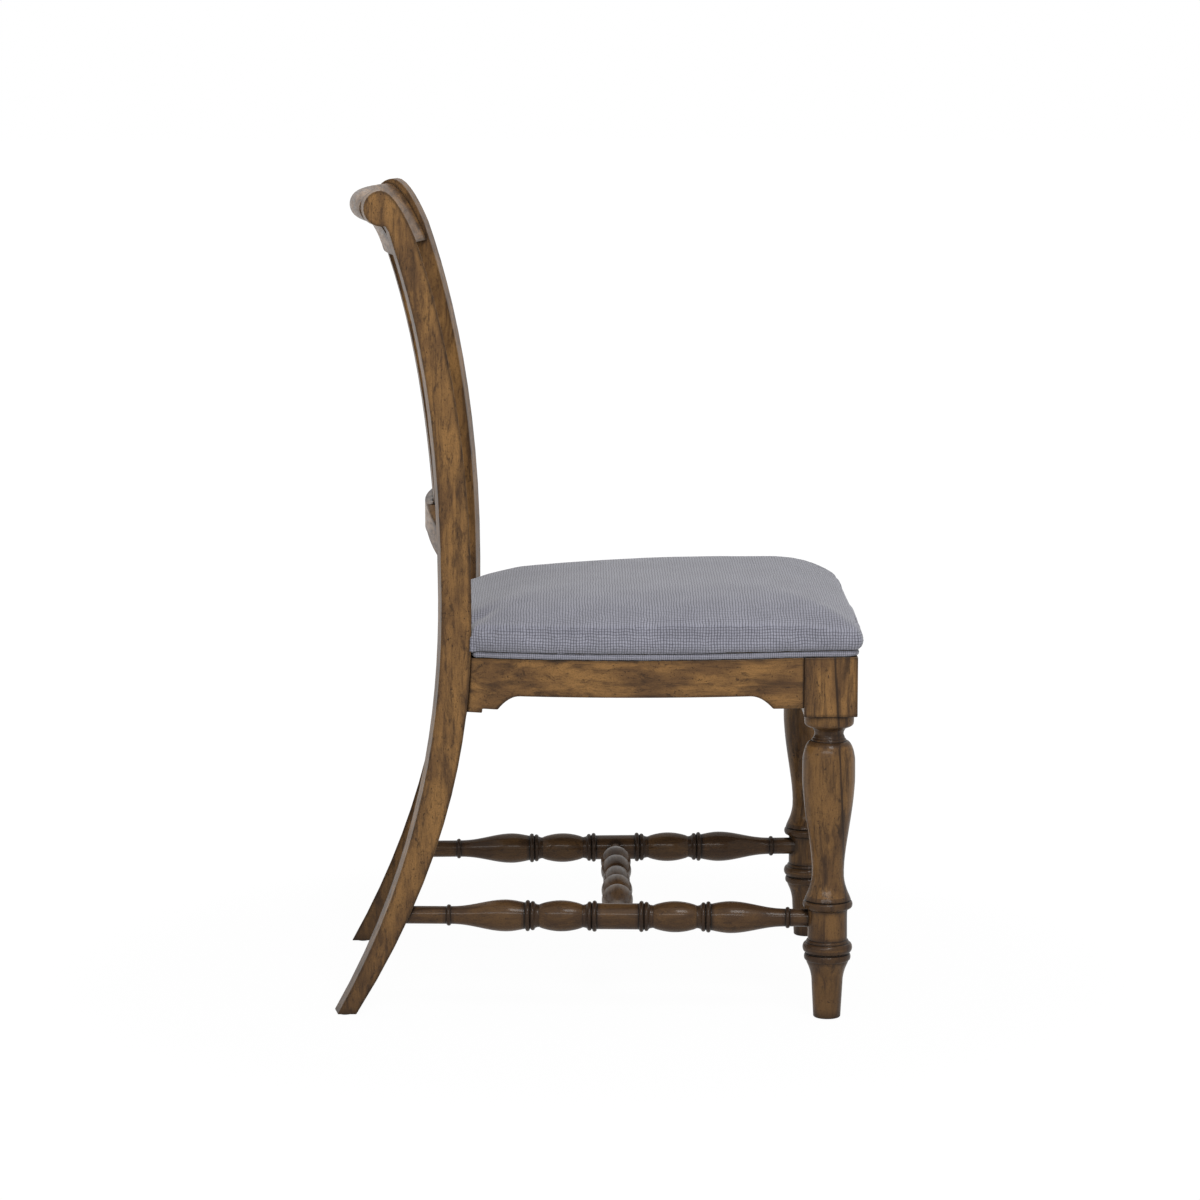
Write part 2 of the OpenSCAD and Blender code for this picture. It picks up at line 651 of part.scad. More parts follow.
// The plan drawn in by inset at height z. Its top falls toward the back and the front corners,
// and from notch_inset on it turns into the crown's plan
notch_inset = 20;
function seat_ring(inset, z) = let (
        s = 1 - inset / seat_reach,
        rounding = min(1, max(0, (inset - notch_inset) / crown_corner_r)),
        c = [0, seat_mid_y],
        rise = min(1, max(0, (z - rim_z) / side_h)))
    [for (i = [0:len(seat_plan) - 1]) let (
            p = seat_plan[i] + rounding * (crown_plan[i] - seat_plan[i]),
            q = c + s * (p - c),
            back = max(0, q.y - seat_mid_y) / (seat_d - seat_mid_y),
            front = max(0, seat_mid_y - q.y) / (seat_mid_y - cover_front_y),
            corner = pow(abs(q.x) * 2 / front_w, 3) * pow(front, 3))
        [q.x, q.y, z - rise * (back_fall * back * min(1, inset / 16) + corner_drop * corner)]];

crown = seat_h - rim_z - side_h;
function crown_z(inset) = rim_z + side_h + crown * (1 - pow(1 - inset / seat_reach, crown_power));
// The crown's rings close up toward its edge, from inset crown_from in to crown_to
crown_rings = 15;
crown_from = 3.3;
crown_to = 185;
outer_rings = concat(
    [for (r = [[7, 0], [2.5, 0.16], [0, 0.5], [1, 0.8]]) [r.x, rim_z + r.y * side_h]],
    [for (k = [0:crown_rings]) let (
            inset = crown_from + (crown_to - crown_from) * pow(k / crown_rings, 1.6))
        [inset, crown_z(inset)]]);
edge_inset = 2 * welt_r + 6;
inner_rings = [
    [edge_inset, rim_z], [edge_inset - 0.5, board_z + board_t + 1.5],
    [cover_t + 1.5, rim_z + 0.5 * side_h], [cover_t + 4, rim_z + 0.92 * side_h],
    for (inset = [16, 55, 135]) [inset + cover_t, crown_z(inset) - cover_t]];

// Triangles between ring k and ring k + 1 of n points, first point at base
function band(base, k, n) = [for (i = [0:n - 1]) let (j = (i + 1) % n, a = base + k * n)
    each [[a + i, a + n + i, a + j], [a + j, a + n + i, a + n + j]]];
function bands(base, rows, n) = [for (k = [0:rows - 2]) each band(base, k, n)];
function fan(base, n, tip) = [for (i = [0:n - 1]) [base + i, tip, base + (i + 1) % n]];
function flipped(faces) = [for (f = faces) [f[2], f[1], f[0]]];

module seat_cover() {
    n = len(seat_plan);
    no = len(outer_rings);
    ni = len(inner_rings);
    inner = no * n + 1;
    points = concat(
        [for (r = outer_rings) each seat_ring(r[0], r[1])], [[0, seat_mid_y, seat_h]],
        [for (r = inner_rings) each seat_ring(r[0], r[1])],
        [[0, seat_mid_y, seat_h - cover_t]]);
    rim = [for (i = [0:n - 1]) let (j = (i + 1) % n)
        each [[i, j, inner + i], [j, inner + j, inner + i]]];
    color(cloth) placed() tilted() polyhedron(points, concat(
        bands(0, no, n), fan((no - 1) * n, n, no * n),
        flipped(concat(bands(inner, ni, n), fan(inner + (ni - 1) * n, n, inner + ni * n))),
        rim));
}

module seat_foam() {
    gap = 0.6;
    n = len(seat_plan);
    rings = [[edge_inset + gap, board_z + board_t + 0.3],
        for (k = [1:len(inner_rings) - 1]) [inner_rings[k][0] + gap, inner_rings[k][1] - gap]];
    rows = len(rings);
    points = concat([for (r = rings) each seat_ring(r[0], r[1])],
        [[0, seat_mid_y, seat_h - cover_t - gap]], [[0, seat_mid_y, rings[0][1]]]);
    color(foam) placed() tilted() polyhedron(points, concat(bands(0, rows, n),
        fan((rows - 1) * n, n, rows * n), flipped(fan(0, n, rows * n + 1))));
}

module seat_board() {
    color(pale_wood) placed() difference() {
        tilted() translate([0, 0, board_z]) linear_extrude(board_t)
            polygon([for (p = seat_ring(edge_inset + 0.3, 0)) [p.x, p.y]]);
        both_sides() board_screws(fit);
    }
}

// The welt follows the plan, and at the notches for the posts it runs on by welt_reach
welt_reach = 5.5;
function welt_line() = let (ring = seat_ring(welt_r + 5.7, board_z + welt_r + 0.2))
    [for (i = [0:len(ring) - 1]) let (
            p = seat_plan[i],
            at_post = abs(p.x) > leg_in_x - 1 && abs(p.y - seat_d) < leg_w * skew)
        ring[i] + [0, at_post ? welt_reach : 0, 0]];

module seat_welt() {
    sides = 8;
    path = welt_line();
    n = len(path);
    points = [for (i = [0:n - 1]) let (
            ahead = path[(i + 1) % n] - path[(i + n - 1) % n],
            out = [ahead.y, -ahead.x, 0] / norm(ahead))
        for (k = [0:sides - 1]) let (a = 360 * (k + 0.5) / sides)
            path[i] + welt_r * (cos(a) * out + [0, 0, sin(a)])];
    color(cloth) placed() tilted() polyhedron(points, [for (i = [0:n - 1]) let (j = (i + 1) % n)
        for (k = [0:sides - 1]) let (m = (k + 1) % sides)
            each [[i * sides + k, i * sides + m, j * sides + k],
                [j * sides + k, i * sides + m, j * sides + m]]]);
}

module dust_cover() {
    sheet_t = 0.8;
    margin = 3;
    side_y = [for (i = [0:8]) side_foot_y + margin + i * (seat_d - side_foot_y - 2 * margin) / 8];
    half = concat(
        [[inner_block_x - margin, front_inner_y + margin],
         [inner_block_x - margin, side_foot_y + margin]],
        [for (y = side_y) [side_in_x(y) - margin, y]],
        [[leg_in_x - margin, seat_d - margin], [leg_in_x - margin, rear_rail_y - margin]]);
    color(black) placed() difference() {
        tilted() translate([0, 0, board_z - sheet_t - 0.2]) linear_extrude(sheet_t)
            polygon(concat(half, backwards([for (p = half) across(p)])));
        both_sides() board_screws(2 * fit);
    }
}

// Dowels, screws and glides. With a gap they are the bores that take them

module dowel(at, turn, gap) {
    translate(at) rotate(turn)
        cylinder(r = dowel_r + gap, h = dowel_l + 2 * gap, center = true);
}
// Depths of a rail's two dowels below the seat frame's top; the side rails' lie between them
rail_drops = [12, 36];
stagger = 12;
module front_rail_dowels(gap) {
    for (drop = rail_drops)
        dowel([inner_block_x, front_rail_y + rail_t / 2, frame_top - drop], [0, 90, 0], gap);
}
module side_rail_dowels(gap) {
    for (drop = rail_drops + [stagger, stagger]) {
        z = frame_z(seat_d) - drop;
        dowel([side_front.x - rail_t / 2, side_foot_y, frame_top - drop], [90, 0, 0], gap);
        dowel([leg_mid_x, leg_front_y(z) + leg_w / 2 * skew, z], [90, 0, 0], gap);
    }
}
module rear_rail_dowels(gap) {
    for (drop = rail_drops)
        dowel([leg_in_x, rear_rail_y + rail_t / 2, frame_z(seat_d) - drop], [0, 90, 0], gap);
}
module crest_dowels(gap) {
    dowel([leg_in_x, seat_d + post_lean + 18.2, neck_z - 6], [0, 90, 0], gap);
    dowel([leg_in_x, scroll_y - 4.6, scroll_z - 7.7], [0, 90, 0], gap);
}
module lower_rail_dowels(gap) {
    y = rail_back_y - back_bow - lower_rail_t / 2;
    z = lower_rail_z - rail_fall + lower_rail_h / 2 + 2;
    for (step = [-8, 8]) dowel([leg_in_x, y, z + step], [0, 90, 0], gap);
}

// A wood screw with the underside of its head at the origin and its shank toward -Z.
// With a gap it is the bore, with an open well over the head
module screw(length, gap) {
    head_r = 1.9 * screw_r;
    head_t = 2.4;
    well = gap > 0 ? 40 : head_t;
    translate([0, 0, -length - gap]) cylinder(r = screw_r + gap, h = length + gap, $fn = 32);
    cylinder(r = head_r + 2 * gap, h = well, $fn = 32);
}
block_screw_l = 22;
head_depth = 10;
module corner_screws_front(gap) {
    translate([inner_block_x - 30, front_inner_y + head_depth, front_block_z + corner_h / 2])
        rotate([-90, 0, 0]) screw(block_screw_l, gap);
}
module corner_screws_rear(gap) {
    translate([leg_in_x - 33, rear_rail_y - head_depth, rear_block_z + corner_h / 2])
        rotate([90, 0, 0]) screw(block_screw_l, gap);
}
module corner_screws_side(gap) {
    front_y = side_foot_y + 40;
    rear_y = seat_d - 34;
    for (at = [[front_y, front_block_z], [rear_y, rear_block_z]])
        translate([side_in_x(at.x) - head_depth, at.x, at.y + corner_h / 2])
            rotate([0, -90, 0]) screw(block_screw_l, gap);
}
module board_screws(gap) {
    sink = 3;
    tip = board_t - 3;
    for (at = [[inner_block_x + 12, side_foot_y + 20, front_block_z],
            [leg_in_x - 11, seat_d - 12, rear_block_z]])
        translate([at.x, at.y, at.z + sink]) rotate([180, 0, 0])
            screw(frame_z(at.y) + tip - at.z - sink, gap);
}

module rail_dowels() {
    color(pale_wood) placed() both_sides() {
        front_rail_dowels(0);
        side_rail_dowels(0);
        rear_rail_dowels(0);
    }
}
module back_dowels() {
    color(pale_wood) placed() both_sides() {
        crest_dowels(0);
        lower_rail_dowels(0);
    }
}
module block_screws() {
    color(steel) placed() both_sides() {
        corner_screws_front(0);
        corner_screws_rear(0);
        corner_screws_side(0);
    }
}
module seat_screws() {
    color(steel) placed() both_sides() board_screws(0);
}

module glides(end) {
    rear_y = seat_d + foot_sweep + heel_d / 2 + leg_w / 2 * skew;
    at = end == "front" ? [front_x, 0, 0] : [leg_mid_x, rear_y, 0];
    color(black) placed() both_sides() translate(at) rotate_extrude()
        polygon([[0, 0], [glide_r - 1, 0], [glide_r, 0.6], [glide_r, glide_t], [0, glide_t]]);
}

front_leg("right");  // front_leg_right
front_leg("left");  // front_leg_left
rear_leg("right");  // rear_leg_right
rear_leg("left");  // rear_leg_left
crest_rail();
lower_back_rail();
back_slat(1);  // back_slat_1
back_slat(2);  // back_slat_2
back_slat(3);  // back_slat_3
back_slat(4);  // back_slat_4
back_slat(5);  // back_slat_5
seat_rail_front();
seat_rail_rear();
side_rail("right");  // seat_rail_right
side_rail("left");  // seat_rail_left
side_stretcher("right");  // side_stretcher_right
side_stretcher("left");  // side_stretcher_left
cross_stretcher();
corner_block("right", "front");  // corner_block_front_right
corner_block("left", "front");  // corner_block_front_left
corner_block("right", "rear");  // corner_block_rear_right
corner_block("left", "rear");  // corner_block_rear_left
seat_board();
seat_foam();
seat_cover();
seat_welt();
dust_cover();
rail_dowels();
back_dowels();
block_screws();
seat_screws();
glides("front");  // front_glides
glides("rear");  // rear_glides
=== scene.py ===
import math

import bmesh
import bpy
import numpy as np
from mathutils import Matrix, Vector, noise
from mathutils.bvhtree import BVHTree
from mathutils.kdtree import KDTree


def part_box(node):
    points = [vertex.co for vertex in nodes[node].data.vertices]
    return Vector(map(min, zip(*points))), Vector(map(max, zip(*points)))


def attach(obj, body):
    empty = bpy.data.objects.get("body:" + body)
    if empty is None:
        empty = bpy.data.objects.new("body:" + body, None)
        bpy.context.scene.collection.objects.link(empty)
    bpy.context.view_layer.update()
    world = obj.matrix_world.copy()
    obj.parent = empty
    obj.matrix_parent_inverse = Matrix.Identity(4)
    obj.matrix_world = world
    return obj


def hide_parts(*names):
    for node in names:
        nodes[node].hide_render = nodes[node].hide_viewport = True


# An upholstered dining chair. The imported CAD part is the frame: every piece here is a finer
# version of its nodes, built from their own meshes. Metres throughout. The front of the chair
# faces -Y and the photograph's camera looks along +X.

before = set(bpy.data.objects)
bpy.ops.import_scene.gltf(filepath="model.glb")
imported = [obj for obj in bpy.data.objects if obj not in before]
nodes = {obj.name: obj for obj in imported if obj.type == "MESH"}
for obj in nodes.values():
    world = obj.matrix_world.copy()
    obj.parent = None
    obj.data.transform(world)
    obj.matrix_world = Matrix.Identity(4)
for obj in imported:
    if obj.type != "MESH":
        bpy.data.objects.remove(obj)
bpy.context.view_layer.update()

# Colours, as linear values

WOOD_GOLD = (0.265, 0.138, 0.046, 1)
WOOD_BROWN = (0.136, 0.070, 0.027, 1)
WOOD_DARK = (0.035, 0.019, 0.011, 1)
GLAZE_AND_SHADE = (0.011, 0.007, 0.005, 1)
INNER_WOOD = (0.46, 0.30, 0.16, 1)
PLY = (0.50, 0.34, 0.19, 1)
# the cloth's raised threads and the hollows between them: painted light and shade of the weave
CLOTH_LIGHT = (0.315, 0.315, 0.372, 1)
CLOTH_DARK = (0.060, 0.060, 0.074, 1)
# painted shade for the cloth's creases and where it meets other parts
CLOTH_CREASE_SHADE = (0.03, 0.03, 0.036, 1)
DUST_BLACK = (0.018, 0.018, 0.020, 1)
DUST_GREY = (0.050, 0.050, 0.054, 1)
STEEL = (0.45, 0.42, 0.36, 1)
STEEL_TARNISH = (0.10, 0.08, 0.05, 1)
GLIDE_BLACK = (0.020, 0.019, 0.018, 1)
GLIDE_DUST = (0.10, 0.09, 0.08, 1)


# Node helpers


class Graph:
    """Builds shader nodes with short calls. A value may be a socket, a number or a colour."""

    def __init__(self, name, made_in=bpy.data.materials):
        self.owner = made_in.new(name)
        self.owner.use_nodes = True
        self.tree = self.owner.node_tree
        self.tree.nodes.clear()

    def node(self, kind, values=(), out=0, **settings):
        made = self.tree.nodes.new("ShaderNode" + kind)
        for key, value in settings.items():
            setattr(made, key, value)
        for key, value in dict(values).items():
            if hasattr(value, "is_linked"):
                self.tree.links.new(value, made.inputs[key])
            else:
                made.inputs[key].default_value = value
        return made.outputs[out] if made.outputs else None

    def math(self, operation, a, b=0.0, c=0.0):
        return self.node("Math", {0: a, 1: b, 2: c}, operation=operation)

    def times(self, a, b):
        return self.math("MULTIPLY", a, b)

    def most(self, first, *others):
        """The largest of the values."""
        for value in others:
            first = self.math("MAXIMUM", first, value)
        return first

    def mix(self, factor, a, b):
        return self.node("Mix", {0: factor, 6: a, 7: b}, out=2, data_type="RGBA")

    def blend(self, factor, a, b):
        return self.node("Mix", {0: factor, 2: a, 3: b}, out=0, data_type="FLOAT")

    def spread(self, value, low, high, to_low=0.0, to_high=1.0):
        """Maps low..high smoothly to to_low..to_high, and holds the ends."""
        return self.node("MapRange", {"Value": value, 1: low, 2: high, 3: to_low, 4: to_high},
                         interpolation_type="SMOOTHSTEP")

    def toned(self, colour, tone, value, low, high, share=1.0):
        """Lays tone over colour, from nothing where value is low to this share where it is high."""
        return self.mix(self.spread(value, low, high, 0.0, share), colour, tone)

    def noise(self, vector, scale, detail=3.0, roughness=0.55, distortion=0.0):
        return self.node("TexNoise", {"Vector": vector, "Scale": scale, "Detail": detail,
                                      "Roughness": roughness, "Distortion": distortion})

    def sway(self, vector, scale):
        """A noise vector round zero, which pushes a pattern out of true."""
        noise_vector = self.node("TexNoise", {"Vector": vector, "Scale": scale, "Detail": 2.0},
                                 out=1)
        return self.node("VectorMath", {0: noise_vector, 1: (0.5, 0.5, 0.5)},
                         operation="SUBTRACT")

    def stretched(self, vector, x, y, z):
        return self.node("VectorMath", {0: vector, 1: (x, y, z)}, operation="MULTIPLY")

    def moved(self, vector, by):
        return self.node("VectorMath", {0: vector, 1: by})

    def parts(self, vector):
        """The vector's x, y and z."""
        split = self.tree.nodes.new("ShaderNodeSeparateXYZ")
        self.tree.links.new(vector, split.inputs[0])
        return list(split.outputs)

    def place(self):
        """The place on the object in metres."""
        return self.node("TexCoord", out=3)

    def attribute(self, name):
        return self.node("Attribute", out=2, attribute_name=name)

    def nearby(self, reach, inside=False):
        """How open the surface is within reach: 1 on a flat face, less in a corner. With inside
        it looks into the solid instead, and is less along an outer edge."""
        return self.node("AmbientOcclusion", {"Distance": reach}, out=1, samples=6, inside=inside)

    def bump(self, height, distance, strength=1.0):
        return self.node("Bump", {"Height": height, "Distance": distance, "Strength": strength})

    def surface(self, **values):
        """The material's shader: a Principled BSDF with these inputs."""
        names = {key.replace("_", " "): value for key, value in values.items()}
        shader = self.node("BsdfPrincipled", names)
        self.node("OutputMaterial", {"Surface": shader})
        return self.owner


# Materials. A noise's values lie mostly between 0.3 and 0.7, so a band such as 0.58 to 0.72
# picks out its peaks, and one that falls from 0.46 to 0.32 its hollows.

GRAIN_ORDER = {"X": (1, 2, 0), "Y": (2, 0, 1), "Z": (0, 1, 2)}     # the last one is the grain's
SEED_STEP = (0.37, 0.71, 1.13)     # how far each seed moves the pattern, in metres
GRAIN_SWAY = 0.016     # how far the grain wanders sideways, in metres

# The wood's patterns: scale across the grain and along it, detail, roughness, distortion
WOOD_NOISES = {
    "patch": (34, 15, 3.0, 0.55, 0.0),
    "figure": (75, 5, 5.0, 0.62, 0.0),
    "streak": (190, 11, 4.0, 0.60, 0.0),
    "fibre": (900, 45, 2.0, 0.60, 0.0),
    "blotch": (130, 36, 5.0, 0.74, 0.3),
    "smudge": (62, 34, 6.0, 0.72, 0.6),
    "speck": (430, 280, 2.0, 0.50, 0.0),
    "grit": (1000, 600, 2.0, 0.60, 0.0),
}

CORNER_REACH = 0.007   # painted shade and dark glaze gather in corners within this distance
ARRIS_REACH = 0.005    # the dark glaze lies along outer edges within this one
ARRIS_GLAZE = 0.65     # how dark it lies along the outer edges
JOINT_LINE = 0.003     # width of the dark line where a rail meets its neighbour
VEIN_LEAN = 0.053      # how far a vein moves in y over each metre of height
VEIN_WOBBLE = 0.006    # and how far it strays with the figure


def wood_patterns(g, grain, seed):
    """The place in the wood as x, y and z, and each of its noises by name."""
    place = g.place()
    axes = g.parts(place)
    along = g.node("CombineXYZ", {k: axes[axis] for k, axis in enumerate(GRAIN_ORDER[grain])})
    along = g.moved(along, [seed * step for step in SEED_STEP])
    sway = g.sway(g.stretched(along, 7, 7, 2.2), 5.0)
    along = g.moved(along, g.stretched(sway, GRAIN_SWAY, GRAIN_SWAY, 0.0))
    noises = {name: g.noise(g.stretched(along, across, across, run), 1.0, *shape)
              for name, (across, run, *shape) in WOOD_NOISES.items()}
    return axes, noises


def stained(g, noises, mottle):
    """Gold and brown wood with dark streaks, which mottle breaks up into patches."""
    streaky = 0.95 - 0.5 * mottle
    colour = g.toned(WOOD_BROWN, WOOD_GOLD, noises["patch"], 0.38, 0.62)
    colour = g.toned(colour, WOOD_DARK, noises["figure"], 0.48, 0.68, streaky)
    colour = g.toned(colour, WOOD_DARK, noises["streak"], 0.50, 0.70, 0.8 * streaky)
    colour = g.toned(colour, WOOD_GOLD, noises["figure"], 0.46, 0.32, 0.40)
    colour = g.toned(colour, WOOD_DARK, noises["blotch"], 0.50, 0.66, 0.85 * mottle)
    colour = g.toned(colour, WOOD_GOLD, noises["blotch"], 0.47, 0.34, 0.60 * mottle)
    return g.toned(colour, WOOD_DARK, noises["grit"], 0.46, 0.66, 0.32)


def veined(g, colour, axes, figure, vein):
    """A dark line of the grain with a softer shadow to it. It starts from y = vein at the floor."""
    wobble = g.times(g.math("SUBTRACT", figure, 0.5), VEIN_WOBBLE)
    lean = g.math("MULTIPLY_ADD", axes[2], -VEIN_LEAN, wobble)
    off = g.math("ABSOLUTE", g.math("ADD", g.math("SUBTRACT", axes[1], vein), lean))
    colour = g.toned(colour, GLAZE_AND_SHADE, off, 0.0018, 0.0004, 0.85)
    return g.toned(colour, WOOD_DARK, off, 0.0060, 0.0010, 0.35)


def glaze_and_corner_shade(g, axes, turned, run, ends):
    """Where the wood is darker: painted shade and dark glaze in corners and between parts; dark
    glaze in grooves and along arrises; towards the floor; and, where ends are given, at the joints
    at either end of the run."""
    # painted shade and dark glaze: darker in corners and where other parts come near
    glaze_and_shade = g.spread(g.nearby(CORNER_REACH), 0.90, 0.50, 0.0, 0.95)
    if turned:
        glaze_and_shade = g.most(glaze_and_shade, g.spread(g.attribute("groove"), 0.15, 0.8, 0.0, 0.9))
    if ends:
        nearest = g.math("MINIMUM", g.math("SUBTRACT", run, ends[0]),
                         g.math("SUBTRACT", ends[1], run))
        glaze_and_shade = g.most(glaze_and_shade, g.spread(nearest, JOINT_LINE, JOINT_LINE / 5, 0.0, 0.85))
    # darker within a couple of centimetres of the floor
    darker_near_floor = g.spread(axes[2], 0.016, 0.002, 0.0, 0.6)
    arris = g.spread(g.nearby(ARRIS_REACH, inside=True), 0.94, 0.60, 0.0, ARRIS_GLAZE)
    return g.most(glaze_and_shade, darker_near_floor, arris)


def wood(name, grain, seed, depth=0.0, turned=False, vein=None, mottle=0.5, ends=None):
    """Stained and glazed hardwood. Its grain runs along one axis; depth darkens it, and mottle
    breaks its streaks up into patches. The glaze gathers in a turned piece's attributes groove
    and carved, and at ends, the two places along the grain where the piece meets its neighbours.
    A vein is one long dark line of the grain, at that y on the floor."""
    g = Graph(name)
    axes, noises = wood_patterns(g, grain, seed)
    pores = g.spread(noises["fibre"], 0.58, 0.72)
    smudges = g.spread(noises["smudge"], 0.57, 0.68)
    specks = g.times(g.spread(noises["speck"], 0.62, 0.68), g.spread(noises["smudge"], 0.44, 0.56))

    colour = stained(g, noises, mottle)
    colour = g.mix(g.times(pores, 0.45), colour, GLAZE_AND_SHADE)
    colour = g.mix(g.most(g.times(smudges, 0.60), g.times(specks, 0.72)), colour, GLAZE_AND_SHADE)
    if vein:
        colour = veined(g, colour, axes, noises["figure"], vein)
    if depth:
        colour = g.mix(depth, colour, WOOD_DARK)
    if turned:
        colour = g.toned(colour, WOOD_DARK, g.attribute("carved"), 0.30, 1.0, 0.62)
    # darker towards the floor
    colour = g.toned(colour, WOOD_DARK, axes[2], 0.20, 0.02, 0.45)
    glaze_and_shade = glaze_and_corner_shade(g, axes, turned, axes["XYZ".index(grain)], ends)
    # painted shade in corners and between parts, with the dark glaze of grooves, joints and arrises
    colour = g.mix(glaze_and_shade, colour, GLAZE_AND_SHADE)

    streak = noises["streak"]
    height = g.math("SUBTRACT", g.times(streak, 0.3), g.times(pores, 0.7))
    rough = g.blend(g.spread(streak, 0.3, 0.7), 0.36, 0.50)
    rough = g.blend(glaze_and_shade, rough, 0.62)
    return g.surface(Base_Color=colour, Roughness=rough, Normal=g.bump(height, 0.00012, 0.5),
                     Coat_Weight=0.18, Coat_Roughness=0.14, Specular_IOR_Level=0.07)


def thread(g, t, pitch):
    """The height across a row of round threads, pitch apart along t."""
    return g.math("ABSOLUTE", g.math("SINE", g.times(t, math.pi / pitch)))


def weave_height(g, u, v, pitch):
    """Height of a plain weave of threads pitch apart along u and v, from 0 to 1. The powers
    flatten the threads' tops along their run, the weft's less than the warp's."""
    a, b = thread(g, u, pitch), thread(g, v, pitch)
    warp = g.times(a, g.math("POWER", b, 0.30))
    weft = g.times(g.math("POWER", b, 0.7), g.math("POWER", a, 0.65))
    cell = g.math("ADD", g.math("FLOOR", g.math("DIVIDE", u, pitch)),
                  g.math("FLOOR", g.math("DIVIDE", v, pitch)))
    over = g.math("FLOORED_MODULO", cell, 2.0)
    return g.blend(over, warp, weft)


def laid_on(g, place, pitch):
    """The height of a weave laid on from three sides, by the way the surface faces: from above
    where the mesh's attribute crown is high, and otherwise from the nearest side. Where the top
    slopes, only the threads along the slope are kept."""
    x, y, z = g.parts(place)
    normal = g.node("TexCoord", out=1)
    facing_x, facing_y = [g.math("ABSOLUTE", part) for part in g.parts(normal)[:2]]
    sideways = g.spread(g.math("SUBTRACT", facing_x, facing_y), -0.06, 0.06)
    sides = g.blend(sideways, weave_height(g, x, z, pitch), weave_height(g, y, z, pitch))
    crown = g.attribute("crown")
    slope = g.spread(crown, 0.62, 0.88, 0.8, 0.0)
    ribs = g.blend(sideways, thread(g, x, pitch), thread(g, y, pitch))
    top = g.blend(slope, weave_height(g, y, x, pitch), ribs)
    return g.blend(g.spread(crown, 0.46, 0.58), sides, top)


def woven(name, pitch, light, dark, slub=1.0):
    """Linen-like cloth. Slub is how much its threads wander."""
    g = Graph(name)
    place = g.place()
    wander = g.node("VectorMath", {0: g.sway(place, 55.0), "Scale": pitch * 1.1 * slub},
                    operation="SCALE")
    place = g.moved(place, wander)
    height = laid_on(g, place, pitch)
    fuzz = g.noise(place, 1900.0, 3.0, 0.7)
    tone = g.noise(place, 300.0, 4.0, 0.7)
    cloud = g.noise(place, 22.0, 3.0, 0.5)
    # painted light and shade of the weave: raised threads lighter and the hollows between them
    # darker, with a random tone over it
    lit = g.math("ADD", g.times(height, 0.72), g.times(tone, 0.5))
    colour = g.toned(dark, light, lit, 0.12, 1.0)
    colour = g.toned(colour, dark, cloud, 0.35, 0.65, 0.12)
    # painted shade: the cloth darker in creases and where other parts come near
    colour = g.toned(colour, CLOTH_CREASE_SHADE, g.nearby(0.006), 0.60, 0.2, 0.5)
    relief = g.math("ADD", height, g.times(fuzz, 0.35))
    return g.surface(Base_Color=colour, Roughness=0.92, Normal=g.bump(relief, 0.0004, 0.8),
                     Sheen_Weight=0.35, Sheen_Roughness=0.55, Specular_IOR_Level=0.2)


def pale_wood():
    """Unstained inner wood, as corner blocks and dowels have it."""
    g = Graph("inner_wood")
    place = g.place()
    figure = g.noise(g.stretched(place, 12, 90, 90), 1.0, 5.0, 0.6)
    fibre = g.noise(g.stretched(place, 60, 900, 900), 1.0, 2.0, 0.6)
    colour = g.toned(INNER_WOOD, PLY, figure, 0.4, 0.7)
    colour = g.toned(colour, WOOD_BROWN, fibre, 0.6, 0.8, 0.4)
    return g.surface(Base_Color=colour, Roughness=0.75, Normal=g.bump(fibre, 0.0002))


def plywood():
    g = Graph("plywood")
    figure = g.noise(g.stretched(g.place(), 6, 90, 400), 1.0, 5.0, 0.6)
    colour = g.toned(PLY, INNER_WOOD, figure, 0.35, 0.65)
    return g.surface(Base_Color=colour, Roughness=0.7, Normal=g.bump(figure, 0.0002))


def nonwoven():
    """The black sheet under the seat: pressed fibres with a fine dimple pattern."""
    g = Graph("dust_fabric")
    place = g.place()
    fibres = g.noise(place, 1500.0, 4.0, 0.75)
    x, y, _ = g.parts(place)
    dimples = weave_height(g, x, y, 0.0016)
    colour = g.mix(fibres, DUST_BLACK, DUST_GREY)
    height = g.math("ADD", dimples, fibres)
    return g.surface(Base_Color=colour, Roughness=0.85, Normal=g.bump(height, 0.0002))


def metal(name, colour, roughness):
    g = Graph(name)
    brushed = g.noise(g.place(), 2600.0, 3.0, 0.6)
    tarnish = g.noise(g.place(), 240.0, 4.0, 0.6)
    shade = g.toned(colour, STEEL_TARNISH, tarnish, 0.4, 0.7, 0.5)
    return g.surface(Base_Color=shade, Metallic=1.0, Normal=g.bump(brushed, 0.00004),
                     Roughness=g.blend(tarnish, roughness, roughness + 0.2))


def plastic():
    g = Graph("glide_plastic")
    grit = g.noise(g.place(), 1400.0, 3.0, 0.6)
    colour = g.toned(GLIDE_BLACK, GLIDE_DUST, grit, 0.5, 0.8)
    return g.surface(Base_Color=colour, Roughness=g.blend(grit, 0.4, 0.7),
                     Normal=g.bump(grit, 0.0001))


# Meshes


SAME_PLACE = 2e-5      # points closer than this are one point


def mesh_of(node):
    """The node's own mesh, with the corners that its faces share joined."""
    bm = bmesh.new()
    bm.from_mesh(nodes[node].data)
    bm.transform(nodes[node].matrix_world)
    bmesh.ops.remove_doubles(bm, verts=bm.verts, dist=SAME_PLACE)
    return bm


def add(name, bm, material, slot, *stands_for):
    """Turns a bmesh into a smooth piece that rides with the chair and replaces these nodes."""
    mesh = bpy.data.meshes.new(name)
    bm.to_mesh(mesh)
    bm.free()
    mesh.shade_smooth()
    mesh.materials.append(material)
    piece = bpy.data.objects.new(name, mesh)
    bpy.context.scene.collection.objects.link(piece)
    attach(piece, "root")
    if stands_for:
        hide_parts(*stands_for)
    return piece


